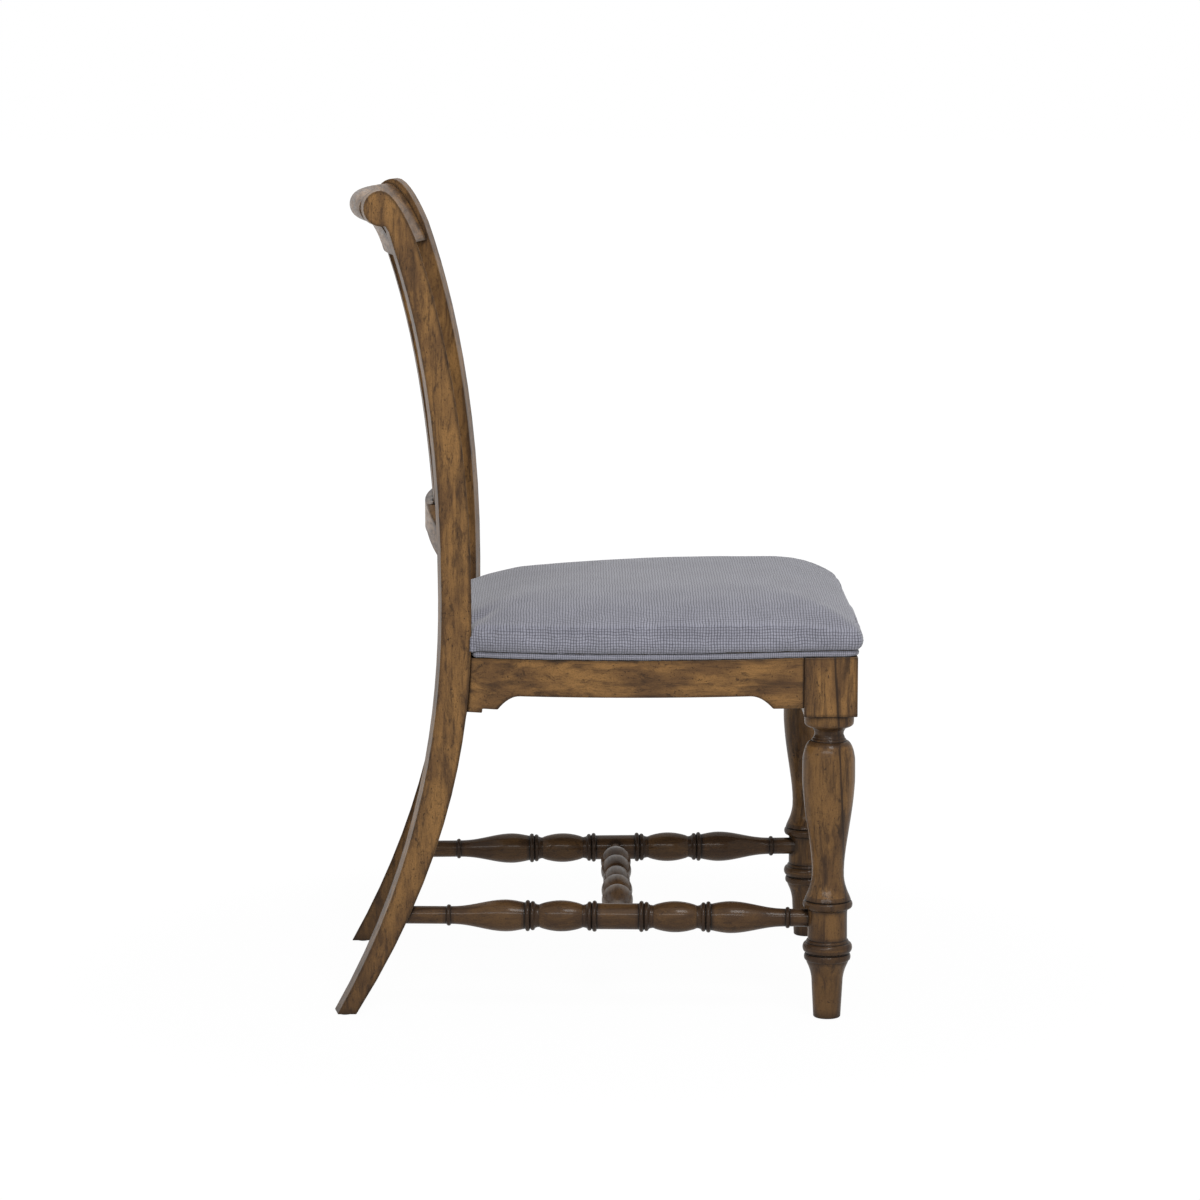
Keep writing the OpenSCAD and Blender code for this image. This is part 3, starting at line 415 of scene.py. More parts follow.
BORE_FACE = 14e-6      # faces smaller than this belong to bores, whose rims stay sharp
SHARP = math.radians(28)       # an arris is eased where its faces meet at more than this
FLAT = math.radians(0.6)       # and faces that meet at less are one face
FLAT_SHADING = 60              # how far the large faces set the shading at a point

# Rounding of the arrises, by the piece
EASING = 0.0011
BLOCK_EASING = 0.0012
SLAT_EASING = 0.0008
BOARD_EASING = 0.0006
SMALL_EASING = 0.0002
SMALL_SHARP = math.radians(40)


def planed(node, material, slot="frame_wood", easing=EASING):
    """A sawn and planed piece: the node with flat faces joined and its arrises eased."""
    bm = mesh_of(node)
    bmesh.ops.dissolve_limit(bm, angle_limit=FLAT, verts=bm.verts, edges=bm.edges,
                             delimit={"NORMAL"})
    weights = bm.edges.layers.float.new("bevel_weight_edge")
    for edge in bm.edges:
        if len(edge.link_faces) == 2 and edge.calc_face_angle(0) > SHARP:
            if min(f.calc_area() for f in edge.link_faces) > BORE_FACE:
                edge[weights] = 1.0
    return eased(add(node + "_eased", bm, material, slot, node), easing)


def eased(piece, width, by_weight=True):
    """Rounds a piece's arrises, and keeps its flat faces flat in the shading."""
    bevel = piece.modifiers.new("easing", "BEVEL")
    bevel.width = width
    bevel.segments = 3
    bevel.limit_method = "WEIGHT" if by_weight else "ANGLE"
    bevel.use_clamp_overlap = False
    bevel.harden_normals = True
    shading = piece.modifiers.new("shading", "WEIGHTED_NORMAL")
    shading.keep_sharp = True
    shading.weight = FLAT_SHADING
    return piece


RING_CORNERS = 24      # a profile point's ring has at least this many corners in the CAD mesh


def profile_of(node, start, axis, thinnest, widest):
    """The lathe profile of a turned node: [distance, radius] wherever its mesh has a full ring."""
    bm = mesh_of(node)
    found = []
    for vert in bm.verts:
        distance = (vert.co - start).dot(axis)
        radius = (vert.co - start - axis * distance).length
        if thinnest < radius < widest:
            found.append((distance, radius))
    bm.free()
    found.sort()
    profile, ring = [], []
    for distance, radius in found + [(math.inf, 0)]:
        if ring and distance - ring[-1][0] > SAME_PLACE:
            if len(ring) >= RING_CORNERS:
                profile.append([ring[0][0], max(r for d, r in ring)])
            ring = []
        ring.append((distance, radius))
    return profile


CREASE = math.radians(38)      # a profile turns a sharp corner where it bends more than this
FINE = 0.0007                  # spacing of a lathe's rings


def smoothed(profile):
    """Runs a smooth curve through the profile's points, but keeps its sharp corners."""
    def bend(a, p, b):
        before = math.atan2(p[1] - a[1], p[0] - a[0])
        after = math.atan2(b[1] - p[1], b[0] - p[0])
        return abs(after - before)
    count = len(profile)
    sharp = [k in (0, count - 1) or bend(*profile[k - 1:k + 2]) > CREASE for k in range(count)]
    made = []
    for k in range(count - 1):
        p, q = Vector(profile[k]), Vector(profile[k + 1])
        before = p - (q - p) if sharp[k] else Vector(profile[k - 1])
        after = q + (q - p) if sharp[k + 1] else Vector(profile[k + 2])
        steps = max(1, round((q - p).length / FINE))
        for i in range(steps):
            t = i / steps
            made.append(spline(before, p, q, after, t))
    return made + [Vector(profile[-1])]


def spline(a, b, c, d, t):
    """A point between b and c on the curve through a, b, c and d, which never overshoots much."""
    def knot(p, q):
        return max(1e-6, (q - p).length ** 0.5)
    t0, t1 = 0.0, knot(a, b)
    t2 = t1 + knot(b, c)
    t3 = t2 + knot(c, d)
    s = t1 + (t2 - t1) * t
    p1 = a * ((t1 - s) / (t1 - t0)) + b * ((s - t0) / (t1 - t0))
    p2 = b * ((t2 - s) / (t2 - t1)) + c * ((s - t1) / (t2 - t1))
    p3 = c * ((t3 - s) / (t3 - t2)) + d * ((s - t2) / (t3 - t2))
    q1 = p1 * ((t2 - s) / (t2 - t0)) + p2 * ((s - t0) / (t2 - t0))
    q2 = p2 * ((t3 - s) / (t3 - t1)) + p3 * ((s - t1) / (t3 - t1))
    return q1 * ((t2 - s) / (t2 - t1)) + q2 * ((s - t1) / (t2 - t1))


LATHE_SIDES = 80


def lathe(bm, profile, start, axis, sides=LATHE_SIDES):
    """Adds a turned surface to bm, with two values on each ring: groove is 1 in a sharp
    hollow, and carved is 1 among small rings and coves."""
    groove = bm.verts.layers.float.new("groove")
    carved = bm.verts.layers.float.new("carved")
    side = axis.orthogonal().normalized()
    other = axis.cross(side)
    previous = None
    for (distance, radius), hollow, turn in zip(profile, hollows(profile), turns(profile)):
        centre = start + axis * distance
        ring = []
        for k in range(sides):
            a = 2 * math.pi * k / sides
            vert = bm.verts.new(centre + radius * (math.cos(a) * side + math.sin(a) * other))
            vert[groove] = hollow
            vert[carved] = turn
            ring.append(vert)
        if previous:
            for k in range(sides):
                j = (k + 1) % sides
                bm.faces.new((previous[k], previous[j], ring[j], ring[k]))
        else:
            bm.faces.new(list(reversed(ring)))
        previous = ring
    bm.faces.new(previous)


GROOVE_REACH = 3       # a groove is looked for over this many rings either way
GROOVE_DEPTH = 0.0009  # a groove this deep counts fully


def hollows(profile):
    """How far each point of a profile lies in a groove, from 0 to 1, spread a ring either way."""
    values = []
    for k, (_, radius) in enumerate(profile):
        before = profile[max(0, k - GROOVE_REACH)][1]
        after = profile[min(len(profile) - 1, k + GROOVE_REACH)][1]
        depth = (before + after) / 2 - radius
        values.append(max(0.0, min(1.0, depth / GROOVE_DEPTH)))
    near = [values[max(0, k - 1):k + 2] for k in range(len(values))]
    return [max(value, sum(around) / len(around)) for value, around in zip(values, near)]


CARVED_REACH = 0.005   # a profile's turning is summed this far either way
CARVED_FULL = 3.0      # turning through this angle in all, in radians, counts as carved


def turns(profile):
    """How much a profile turns near each point, from 0 on a long curve to 1 among rings."""
    bends = [0.0]
    for a, p, b in zip(profile, profile[1:], profile[2:]):
        before = math.atan2(p[1] - a[1], p[0] - a[0])
        bends.append(abs(math.atan2(b[1] - p[1], b[0] - p[0]) - before))
    bends.append(0.0)
    values = []
    for distance, _ in profile:
        near = [bend for bend, (other, _) in zip(bends, profile)
                if abs(other - distance) < CARVED_REACH]
        values.append(min(1.0, sum(near) / CARVED_FULL))
    return values


# The frame's pieces


ON_THE_FACE = 0.0004   # a point this close to a square block's face belongs to the block


def corner_points(node, centre, half):
    """The node's corners that lie at half from centre both ways, as a square block's do."""
    bm = mesh_of(node)
    points = [v.co.copy() for v in bm.verts
              if min(abs(v.co.x - centre.x), abs(v.co.y - centre.y)) > half - ON_THE_FACE]
    bm.free()
    return points


# Where each piece's wood is cut from: another number gives it another stretch of the grain
PLANK = {"front_leg": 3, "rear_leg": 21, "side_rail": 31, "side_stretcher": 41,
         "cross_stretcher": 47, "seat_rail_front": 55, "seat_rail_rear": 57,
         "crest_rail": 61, "lower_back_rail": 64, "back_slat": 70}
LEG_VEIN = -0.3095     # the near front leg has a dark line of the grain, from this y
LEG_MOTTLE = 0.3
LEG_THINNEST = 0.010   # a ring thinner than this is a bore's, not the turned leg's


def front_leg(side, seed):
    """A turned leg under a square block."""
    node = "front_leg_" + side
    low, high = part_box(node)
    half = (high[0] - low[0]) / 2
    foot = Vector(((low[0] + high[0]) / 2, (low[1] + high[1]) / 2, 0))
    up = Vector((0, 0, 1))
    vein = LEG_VEIN if side == "right" else None
    turned_wood = wood("leg_wood_" + side, "Z", seed, depth=0.28, turned=True, vein=vein,
                       mottle=LEG_MOTTLE)
    block_wood = wood("block_wood_" + side, "Z", seed, vein=vein, mottle=LEG_MOTTLE)
    bm = bmesh.new()
    lathe(bm, smoothed(profile_of(node, foot, up, LEG_THINNEST, half - ON_THE_FACE)), foot, up)
    add(node + "_turning", bm, turned_wood, "frame_wood", node)
    bm = bmesh.new()
    for point in corner_points(node, foot, half):
        bm.verts.new(point)
    bmesh.ops.convex_hull(bm, input=bm.verts)
    bmesh.ops.dissolve_limit(bm, angle_limit=FLAT, verts=bm.verts, edges=bm.edges)
    block = add(node + "_block", bm, block_wood, "frame_wood")
    eased(block, BLOCK_EASING, by_weight=False)


TIP_REACH = 0.0009     # a stretcher's end ring lies within this distance of its tip
BAR_RADII = (0.0075, 0.03)     # the radii of a stretcher's rings lie between these
TENON_SHOWN = 0.003    # a stretcher starts this far from the tip of its tenon
BAR_SIDES = 64


def stretcher(node, grain, seed):
    """A turned bar. It runs on a little way into the pieces that it meets."""
    axis_index = "XYZ".index(grain)
    bm = mesh_of(node)
    ends = []
    for choose in (min, max):
        tip = choose(v.co[axis_index] for v in bm.verts)
        ring = [v.co for v in bm.verts if abs(v.co[axis_index] - tip) < TIP_REACH]
        ends.append(sum(ring, Vector()) / len(ring))
    bm.free()
    start, axis = ends[0], (ends[1] - ends[0]).normalized()
    profile = profile_of(node, start, axis, *BAR_RADII)
    length = (ends[1] - ends[0]).length
    profile = ([[TENON_SHOWN, profile[0][1]]] + profile
               + [[length - TENON_SHOWN, profile[-1][1]]])
    bm = bmesh.new()
    lathe(bm, smoothed(profile), start, axis, BAR_SIDES)
    material = wood(node + "_wood", grain, seed, depth=0.66, turned=True)
    add(node + "_turning", bm, material, "stretcher_wood", node)


def small_part(node, material, slot):
    """A fastener or glide: the node's own form with its edges just broken."""
    piece = add(node + "_detailed", mesh_of(node), material, slot, node)
    bevel = piece.modifiers.new("easing", "BEVEL")
    bevel.width = SMALL_EASING
    bevel.segments = 2
    bevel.angle_limit = SMALL_SHARP
    bevel.use_clamp_overlap = False
    shading = piece.modifiers.new("shading", "WEIGHTED_NORMAL")
    shading.weight = FLAT_SHADING


def jointed(node, grain, seed):
    """A planed rail whose ends meet their neighbours along a dark line."""
    low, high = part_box(node)
    axis = "XYZ".index(grain)
    material = wood(node + "_wood", grain, seed, ends=(low[axis], high[axis]))
    planed(node, material)


def build_frame():
    inner = pale_wood()
    for number, side in enumerate(("right", "left")):
        front_leg(side, PLANK["front_leg"] + number)
        planed("rear_leg_" + side, wood("post_wood_" + side, "Z", PLANK["rear_leg"] + number,
                                        depth=0.05, mottle=0.8))
        jointed("seat_rail_" + side, "Y", PLANK["side_rail"] + number)
        stretcher("side_stretcher_" + side, "Y", PLANK["side_stretcher"] + number)
        for end in ("front", "rear"):
            planed("corner_block_%s_%s" % (end, side), inner, "inner_wood")
    stretcher("cross_stretcher", "X", PLANK["cross_stretcher"])
    for node in ("seat_rail_front", "seat_rail_rear"):
        jointed(node, "X", PLANK[node])
    planed("crest_rail", wood("crest_wood", "X", PLANK["crest_rail"]))
    planed("lower_back_rail", wood("lower_rail_wood", "X", PLANK["lower_back_rail"]))
    for number in range(1, 6):
        slat_wood = wood("slat_wood_%d" % number, "Z", PLANK["back_slat"] + number, depth=0.1)
        planed("back_slat_%d" % number, slat_wood, easing=SLAT_EASING)
    steel = metal("screw_steel", STEEL, roughness=0.35)
    for node in ("block_screws", "seat_screws"):
        small_part(node, steel, "screw_steel")
    black = plastic()
    for node in ("front_glides", "rear_glides"):
        small_part(node, black, "glide_plastic")
    for node in ("rail_dowels", "back_dowels"):
        small_part(node, inner, "inner_wood")


# The seat

VOXEL = 0.0055
SHRINK = 0.0025        # the blank starts this far inside the CAD cover, and swells back
SWELL_CAP = 0.005      # the furthest that any point may swell
SIM_FRAMES = 20
RIM_DEPTH = 0.012      # the rim's faces lie within this height of the cover's lowest point
STEEP = 0.9            # and face this nearly straight down


class Rim:
    """The sloping plane of the cover's lower edge."""

    def __init__(self):
        bm = mesh_of("seat_cover")
        faces = rim_faces(bm)
        self.up = -sum((f.normal for f in faces), Vector()).normalized()
        self.point = sum((f.calc_center_median() for f in faces), Vector()) / len(faces)
        bm.free()

    def height(self, point):
        return (point - self.point).dot(self.up)


def rim_faces(bm):
    bm.normal_update()
    lowest = min(v.co.z for v in bm.verts)
    return [f for f in bm.faces
            if f.normal.z < -STEEP and f.calc_center_median().z < lowest + RIM_DEPTH]


def islands_of(bm):
    """The bmesh's points in groups that hang together."""
    left, islands = set(bm.verts), []
    while left:
        group, waiting = set(), [left.pop()]
        while waiting:
            vert = waiting.pop()
            group.add(vert)
            others = (edge.other_vert(vert) for edge in vert.link_edges)
            waiting.extend(other for other in others if other not in group)
        left -= group
        islands.append(group)
    return islands


def cover_skin():
    """The outer skin of the CAD cover, closed underneath."""
    bm = mesh_of("seat_cover")
    bmesh.ops.delete(bm, geom=rim_faces(bm), context="FACES")
    islands = sorted(islands_of(bm), key=lambda group: max(v.co.x for v in group))
    for group in islands[:-1]:
        bmesh.ops.delete(bm, geom=list(group), context="VERTS")
    hole = [e for e in bm.edges if e.is_boundary]
    bmesh.ops.contextual_create(bm, geom=hole)
    bmesh.ops.recalc_face_normals(bm, faces=bm.faces)
    bm.normal_update()
    return bm


EDGE = 0.0015          # the rim's points lie within this height of its plane


def drawn_in(bm, rim, depth):
    """The skin moved inwards by depth, but for its underside."""
    moves = {v: v.normal * depth for v in bm.verts if rim.height(v.co) > EDGE}
    for vert, move in moves.items():
        vert.co -= move
    return bm


PLUG = 0.014           # how far the blank's sides run on past the notches for the posts
NOTCH_WALL = 0.7       # a notch's front wall faces the post at least this squarely
NOTCH_SIDE = 0.004     # and lies within this distance of the post's sides
OUTER_FACE = 0.002     # how near a post's outer face its points lie
POST_GAP = 0.0003      # the cushion ends this far from the posts


def fill_notches(bm):
    """Carries the blank on past its notches' front walls, to be cut off again at the posts."""
    bm.normal_update()
    for side in ("right", "left"):
        low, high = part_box("rear_leg_" + side)
        wall = [f for f in bm.faces if f.normal.y > NOTCH_WALL
                and low[0] - NOTCH_SIDE < f.calc_center_median().x < high[0] + NOTCH_SIDE]
        away = sum((f.normal for f in wall), Vector()).normalized()
        points = [v.co.copy() for v in {v for f in wall for v in f.verts}]
        block = [bm.verts.new(p + away * step) for p in points for step in (-PLUG / 3, PLUG)]
        bmesh.ops.convex_hull(bm, input=block)
    return bm


def post_shape(side):
    """The rear leg a little thickened, and far wider outwards, to cut the cushion with."""
    shape = mesh_of("rear_leg_" + side)
    shape.normal_update()
    low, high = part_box("rear_leg_" + side)
    outer, outward = (high[0], 1) if high[0] > 0 else (low[0], -1)
    moves = [(v, v.normal * POST_GAP) for v in shape.verts]
    for vert, move in moves:
        vert.co += move
        if abs(vert.co.x - outer) < OUTER_FACE:
            vert.co.x += outward * PLUG
    return scratch_object("post_shape_" + side, shape)


def fitted_to_posts(bm):
    """Cuts the cushion off at the faces of the rear legs, which it meets without a gap."""
    body = scratch_object("cushion_body", bm)
    posts = [post_shape(side) for side in ("right", "left")]
    for post in posts:
        cut = body.modifiers.new("post", "BOOLEAN")
        cut.operation = "DIFFERENCE"
        cut.object = post
    made = bmesh.new()
    made.from_mesh(evaluated_mesh(body))
    for scrap in [body] + posts:
        bpy.data.objects.remove(scrap)
    return made


def scratch_object(name, bm):
    mesh = bpy.data.meshes.new(name)
    bm.to_mesh(mesh)
    bm.free()
    made = bpy.data.objects.new(name, mesh)
    bpy.context.scene.collection.objects.link(made)
    return made


def evaluated_mesh(obj):
    depsgraph = bpy.context.evaluated_depsgraph_get()
    return bpy.data.meshes.new_from_object(obj.evaluated_get(depsgraph))


def add_cloth(blank):
    """Makes the blank cloth under pressure, without weight, its pinned points held."""
    cloth = blank.modifiers.new("cloth", "CLOTH")
    cloth.settings.quality = 6
    cloth.settings.mass = 0.3
    cloth.settings.tension_stiffness = 12
    cloth.settings.compression_stiffness = 12
    cloth.settings.shear_stiffness = 6
    cloth.settings.bending_stiffness = 2
    cloth.settings.use_pressure = True
    cloth.settings.uniform_pressure_force = 4
    cloth.settings.vertex_group_mass = "held"
    cloth.settings.effector_weights.gravity = 0
    cloth.point_cache.frame_start = 1
    cloth.point_cache.frame_end = SIM_FRAMES


def swell(blank, rim):
    """Runs the cloth, and moves the blank's points as far as it went, by SWELL_CAP at most."""
    start = [v.co.copy() for v in blank.data.vertices]
    held = blank.vertex_groups.new(name="held")
    held.add([k for k, p in enumerate(start) if rim.height(p) < EDGE], 1.0, "REPLACE")
    add_cloth(blank)
    for number in range(1, SIM_FRAMES + 1):
        bpy.context.scene.frame_set(number)
    swollen = evaluated_mesh(blank)
    blank.modifiers.clear()
    for vert, was, now in zip(blank.data.vertices, start, swollen.vertices):
        move = now.co - was
        vert.co = was + move * min(1.0, SWELL_CAP / max(move.length, 1e-9))
    bpy.context.scene.frame_set(1)
    ease_moves(blank.data, start)


def inflated(bm, rim):
    """Remeshes the blank evenly, blows it up and returns the swollen form as a bmesh."""
    blank = scratch_object("cushion_blank", bm)
    remesh = blank.modifiers.new("voxels", "REMESH")
    remesh.mode = "VOXEL"
    remesh.voxel_size = VOXEL
    blank.data = evaluated_mesh(blank)
    blank.modifiers.clear()
    swell(blank, rim)
    made = bmesh.new()
    made.from_mesh(blank.data)
    bpy.data.objects.remove(blank)
    return made


def tree_of(node):
    bm = mesh_of(node)
    tree = BVHTree.FromBMesh(bm)
    bm.free()
    return tree


EVENING = 0.6          # how far a value goes toward its neighbours' mean in each round
MOVE_ROUNDS = 14       # rounds that even out the swelling
CROWN_ROUNDS = 30      # rounds that even out the attribute crown


def evened(values, ends, shares):
    """Moves each point's value toward its neighbours' mean, once for each share of the way.
    Pairs of a share and a slightly larger negative one smooth the values without shrinking."""
    counts = np.bincount(ends.ravel(), minlength=len(values))[:, None]
    for share in shares:
        total = np.zeros_like(values)
        np.add.at(total, ends[:, 0], values[ends[:, 1]])
        np.add.at(total, ends[:, 1], values[ends[:, 0]])
        values = values + share * (total / counts - values)
    return values


def ease_moves(mesh, start):
    """Evens out how far neighbouring points moved, so that the swelling leaves no creases."""
    ends = np.array([e.vertices[:] for e in mesh.edges])
    base = np.array(start)
    moves = np.array([v.co for v in mesh.vertices]) - base
    mesh.vertices.foreach_set("co", (base + evened(moves, ends, [EVENING] * MOVE_ROUNDS)).ravel())


HOLD = 0.85            # how strongly the swollen form is drawn back to the CAD cover
SHOULDER = 0.030       # the crown is smoothed fully from this far inside the outline
CALM = [0.6, -0.63] * 80       # how the crown is smoothed
CRISP = [0.5, -0.53]           # and how little the shoulder and the rim are
OUTLINE_POINTS = 400   # points of the outline that the inset is measured from
RIPPLE = 0.0004        # height of the faint unevenness of the stuffing
RIPPLE_SCALE = 14


def calmed(bm, rim):
    """Smooths the crown into long curves, and leaves the shoulder and the rim crisp."""
    outline = KDTree(OUTLINE_POINTS)
    for k, point in enumerate(outline_of("seat_cover", rim.point, OUTLINE_POINTS)):
        outline.insert((point.x, point.y, 0), k)
    outline.balance()
    inset = np.array([outline.find((v.co.x, v.co.y, 0))[2] for v in bm.verts])
    raised = np.array([rim.height(v.co) > EDGE for v in bm.verts])[:, None]
    share = np.clip(inset / SHOULDER, 0, 1)[:, None] ** 2 * raised
    ends = np.array([[v.index for v in e.verts] for e in bm.edges])
    places = np.array([v.co for v in bm.verts])
    calm, crisp = evened(places, ends, CALM), evened(places, ends, CRISP)
    for vert, place in zip(bm.verts, calm * share + crisp * (1 - share)):
        vert.co = place


def cushion(cloth_material):
    """The seat cushion: the cover's form, filled by pressure and held to its size."""
    rim = Rim()
    skin = BVHTree.FromBMesh(cover_skin())
    bm = inflated(fill_notches(drawn_in(cover_skin(), rim, SHRINK)), rim)
    for vert in bm.verts:
        nearest = skin.find_nearest(vert.co)[0]
        if rim.height(vert.co) > EDGE and (nearest - vert.co).length < PLUG / 2:
            vert.co = vert.co.lerp(nearest, HOLD)
    calmed(bm, rim)
    bmesh.ops.subdivide_edges(bm, edges=bm.edges, cuts=1, use_grid_fill=True, smooth=1.0)
    bm.normal_update()
    for vert in bm.verts:
        ripple = noise.fractal(vert.co * RIPPLE_SCALE, 0.6, 2.0, 2)
        vert.co += vert.normal * ripple * RIPPLE
    bm = fitted_to_posts(bm)
    mark_crown(bm)
    piece = add("seat_cushion", bm, cloth_material, "seat_fabric", "seat_cover", "seat_foam")


def mark_crown(bm):
    """Gives each point of the cushion the attribute crown: how far it faces up, evened out."""
    bm.normal_update()
    bm.verts.index_update()
    ends = np.array([[v.index for v in e.verts] for e in bm.edges])
    upward = np.array([[v.normal.z] for v in bm.verts])
    facing = evened(upward, ends, [EVENING] * CROWN_ROUNDS)
    layer = bm.verts.layers.float.new("crown")
    for vert, value in zip(bm.verts, facing[:, 0]):
        vert[layer] = value


HEIGHTS = 24           # levels at which the outline's rays are cast


def outline_of(node, centre, count):
    """The outermost points of a flat ring-like node, seen from centre, one for each direction."""
    tree = tree_of(node)
    low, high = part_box(node)
    points = []
    for k in range(count):
        a = 2 * math.pi * k / count
        outward = Vector((math.cos(a), math.sin(a), 0))
        hits = []
        for step in range(HEIGHTS):
            z = low[2] + (high[2] - low[2]) * (step + 0.5) / HEIGHTS
            hit = tree.ray_cast(centre + outward + Vector((0, 0, z - centre.z)), -outward)[0]
            if hit and (hit - centre).dot(outward) > 0:
                hits.append(hit)
        farthest = max(hits, key=lambda hit: (hit - centre).xy.length)
        points.append(Vector((*farthest.xy, sum(hit.z for hit in hits) / len(hits))))
    return points


def evenly(points, spacing):
    """Closed polyline through the points, resampled at about this spacing."""
    closed = points + [points[0]]
    lengths = [0.0]
    for a, b in zip(closed, closed[1:]):
        lengths.append(lengths[-1] + (b - a).length)
    count = round(lengths[-1] / spacing)
    made, k = [], 0
    for i in range(count):
        at = lengths[-1] * i / count
        while lengths[k + 1] < at:
            k += 1
        t = (at - lengths[k]) / max(1e-9, lengths[k + 1] - lengths[k])
        made.append(closed[k].lerp(closed[k + 1], t))
    return made


WELT_R = 0.0036
WELT_STEP = 0.002      # spacing of the welt's rings
WELT_SIDES = 16
WELT_DIRECTIONS = 900  # directions in which the CAD welt is looked for


def cord_ring(bm, path, k):
    """A ring of points round the cord at the path's point k, its outermost on the path."""
    ahead = (path[(k + 1) % len(path)] - path[k - 1]).normalized()
    out = Vector((ahead.y, -ahead.x, 0)).normalized()
    middle = path[k] - out * WELT_R
    ring = []
    for i in range(WELT_SIDES):
        a = 2 * math.pi * i / WELT_SIDES
        around = math.cos(a) * out + math.sin(a) * Vector((0, 0, 1))
        ring.append(bm.verts.new(middle + WELT_R * around))
    return ring


def welt(cloth_material):
    """The piped welt round the seat's lower edge, on the line of the CAD one."""
    low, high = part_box("seat_welt")
    centre = Vector([(a + b) / 2 for a, b in zip(low, high)])
    path = evenly(outline_of("seat_welt", centre, WELT_DIRECTIONS), WELT_STEP)
    bm = bmesh.new()
    rings = [cord_ring(bm, path, k) for k in range(len(path))]
    for ring, following in zip(rings, rings[1:] + rings[:1]):
        for i in range(WELT_SIDES):
            j = (i + 1) % WELT_SIDES
            bm.faces.new((ring[i], ring[j], following[j], following[i]))
    bmesh.ops.recalc_face_normals(bm, faces=bm.faces)
    piece = add("seat_piping", bm, cloth_material, "welt_fabric", "seat_welt")


SHEET_SAG = 0.0015
SAG_REACH = 0.03       # the sheet sags fully from this far inside its edge
SHEET_CELL = 0.016     # the longest edge of the sheet's mesh
SHEET_ROUNDS = 5       # rounds of halving that bring it down to that
SAG_NOISE = 25


def refined_sheet():
    """The lower face of the CAD dust cover, cut into small triangles."""
    bm = mesh_of("dust_cover")
    bm.normal_update()
    upper = [f for f in bm.faces if f.normal.z > -STEEP]
    bmesh.ops.delete(bm, geom=upper, context="FACES")
    bmesh.ops.dissolve_limit(bm, angle_limit=FLAT, verts=bm.verts, edges=bm.edges)
    bmesh.ops.triangulate(bm, faces=bm.faces)
    for _ in range(SHEET_ROUNDS):
        long_edges = [e for e in bm.edges if e.calc_length() > SHEET_CELL]
        if long_edges:
            bmesh.ops.subdivide_edges(bm, edges=long_edges, cuts=1)
            bmesh.ops.triangulate(bm, faces=bm.faces)
    return bm


def dust_sheet():
    """The black sheet under the seat, with a faint sag between its edges."""
    bm = refined_sheet()
    edge = {v for e in bm.edges if e.is_boundary for v in e.verts}
    edge_points = [v.co.copy() for v in edge]
    for vert in bm.verts:
        if vert not in edge:
            inset = min((vert.co - p).length for p in edge_points)
            unevenness = 1 + noise.noise(vert.co * SAG_NOISE)
            vert.co.z -= SHEET_SAG * min(1.0, inset / SAG_REACH) * unevenness
    piece = add("dust_sheet", bm, nonwoven(), "dust_fabric", "dust_cover")


SEAT_THREAD = 0.00335  # pitch of the seat cloth's threads
WELT_THREAD = 0.0025


def build_seat():
    cushion(woven("seat_linen", SEAT_THREAD, CLOTH_LIGHT, CLOTH_DARK))
    welt(woven("welt_linen", WELT_THREAD, CLOTH_LIGHT, CLOTH_DARK, slub=0.4))
    planed("seat_board", plywood(), "plywood", easing=BOARD_EASING)
    dust_sheet()


# Studio


def seen_directly(g):
    """1 for a ray from the camera, mirrored or let through, and 0 for light on its way."""
    ray = g.tree.nodes.new("ShaderNodeLightPath").outputs
    return g.most(ray["Is Camera Ray"], ray["Is Glossy Ray"], ray["Is Transmission Ray"])


SHADOW_SHARE = 0.06    # how much of the chair's soft shadow shows on the white floor
SHADOW_FADE = (0.5, 1.1)       # it fades out between these distances from the chair's middle
FLOOR_GLOW = 1.03      # strength of the floor's own white


def white_floor():
    """A white floor that keeps the chair's soft shadow and fades into the white beyond it."""
    g = Graph("floor_white")
    place = g.place()
    away = g.node("VectorMath", {0: place}, out=1, operation="LENGTH")
    grit = g.noise(place, 30.0, 2.0, 0.5)
    paper = g.mix(grit, (0.80, 0.80, 0.80, 1), (0.82, 0.82, 0.82, 1))
    matt = g.node("BsdfDiffuse", {"Color": paper})
    shadowed = g.node("BsdfDiffuse", {"Color": (0.55, 0.55, 0.56, 1)})
    glow = g.node("Emission", {"Color": (1, 1, 1, 1), "Strength": FLOOR_GLOW})
    share = g.spread(away, *SHADOW_FADE, SHADOW_SHARE, 0.0)
    shown = g.node("MixShader", {0: share, 1: glow, 2: shadowed})
    lit = g.node("MixShader", {0: seen_directly(g), 1: matt, 2: shown})
    g.node("OutputMaterial", {"Surface": lit})
    return g.owner


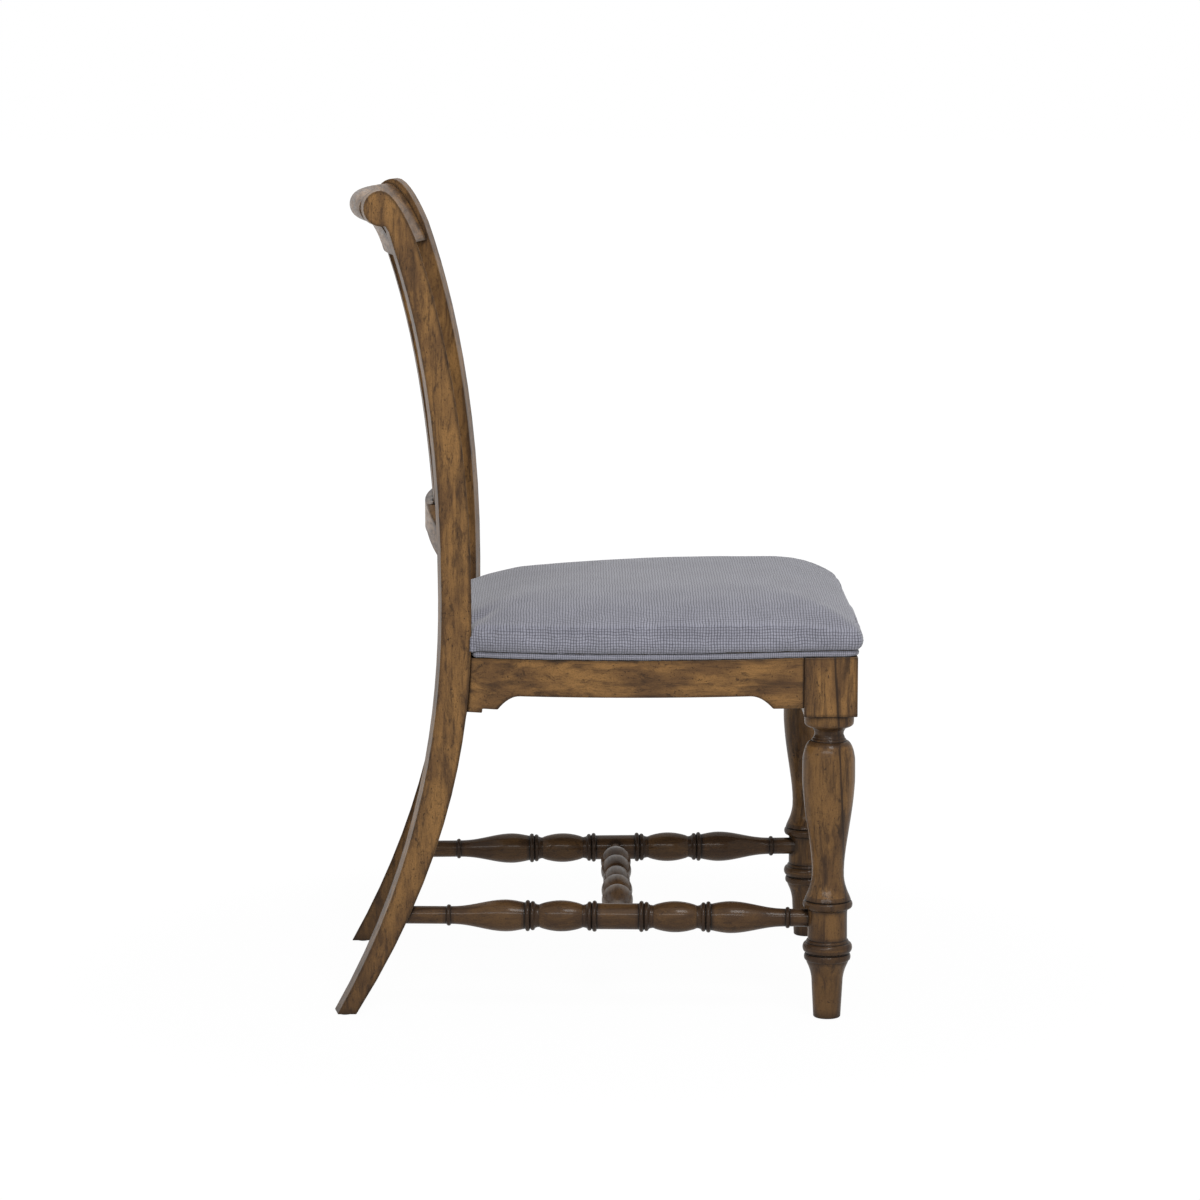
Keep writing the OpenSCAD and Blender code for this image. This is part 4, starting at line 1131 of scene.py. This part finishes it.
def add_floor():
    bm = bmesh.new()
    bmesh.ops.create_circle(bm, cap_ends=True, segments=96, radius=40.0)
    floor = scratch_object("floor", bm)
    floor.data.materials.append(white_floor())


WORLD_LIGHT = 0.38     # how strongly the white surroundings light the chair


def add_world():
    """White surroundings, seen at full strength and weaker as a light."""
    g = Graph("studio", bpy.data.worlds)
    strength = g.node("MapRange", {"Value": seen_directly(g), "To Min": WORLD_LIGHT,
                                   "To Max": 1.0})
    white = g.node("Background", {"Color": (1, 1, 1, 1), "Strength": strength})
    g.node("OutputWorld", {"Surface": white})
    bpy.context.scene.world = g.owner


def build_studio():
    add_floor()
    add_world()
    lamp("key", (-2.3, -0.7, 3.1), (1.1, 1.1), 55)
    lamp("strip", (-3.4, 0.4, 2.05), (3.4, 0.4), 42)
    lamp("overhead", (0.5, -0.3, 3.2), (2.2, 2.2), 10)


AIM = Vector((0, 0, 0.5))      # the point that every lamp faces


def lamp(name, at, size, power):
    """A rectangular lamp; size in metres, power in watts."""
    data = bpy.data.lights.new(name, "AREA")
    data.shape = "RECTANGLE"
    data.size, data.size_y = size
    data.energy = power
    light = bpy.data.objects.new(name, data)
    light.location = at
    light.rotation_euler = (AIM - Vector(at)).to_track_quat("-Z", "Y").to_euler()
    bpy.context.scene.collection.objects.link(light)


# The camera that matches the photograph: its place, its tilt and turn, and its lens

CAMERA_AT = Vector((-4.844, 0.0165, 1.1823))
CAMERA_TILT = math.radians(8.227)
CAMERA_TURN = math.radians(-0.262)
CAMERA_LENS = 117.01


def build_camera():
    data = bpy.data.cameras.new("photo_camera")
    data.sensor_width = 36
    data.lens = CAMERA_LENS
    data.clip_end = 200
    camera = bpy.data.objects.new("photo_camera", data)
    camera.location = CAMERA_AT
    camera.rotation_euler = (math.pi / 2 - CAMERA_TILT, 0, -math.pi / 2 + CAMERA_TURN)
    bpy.context.scene.collection.objects.link(camera)
    bpy.context.scene.camera = camera
    bpy.context.scene.view_settings.view_transform = "Standard"


build_camera()
build_studio()
build_frame()
build_seat()
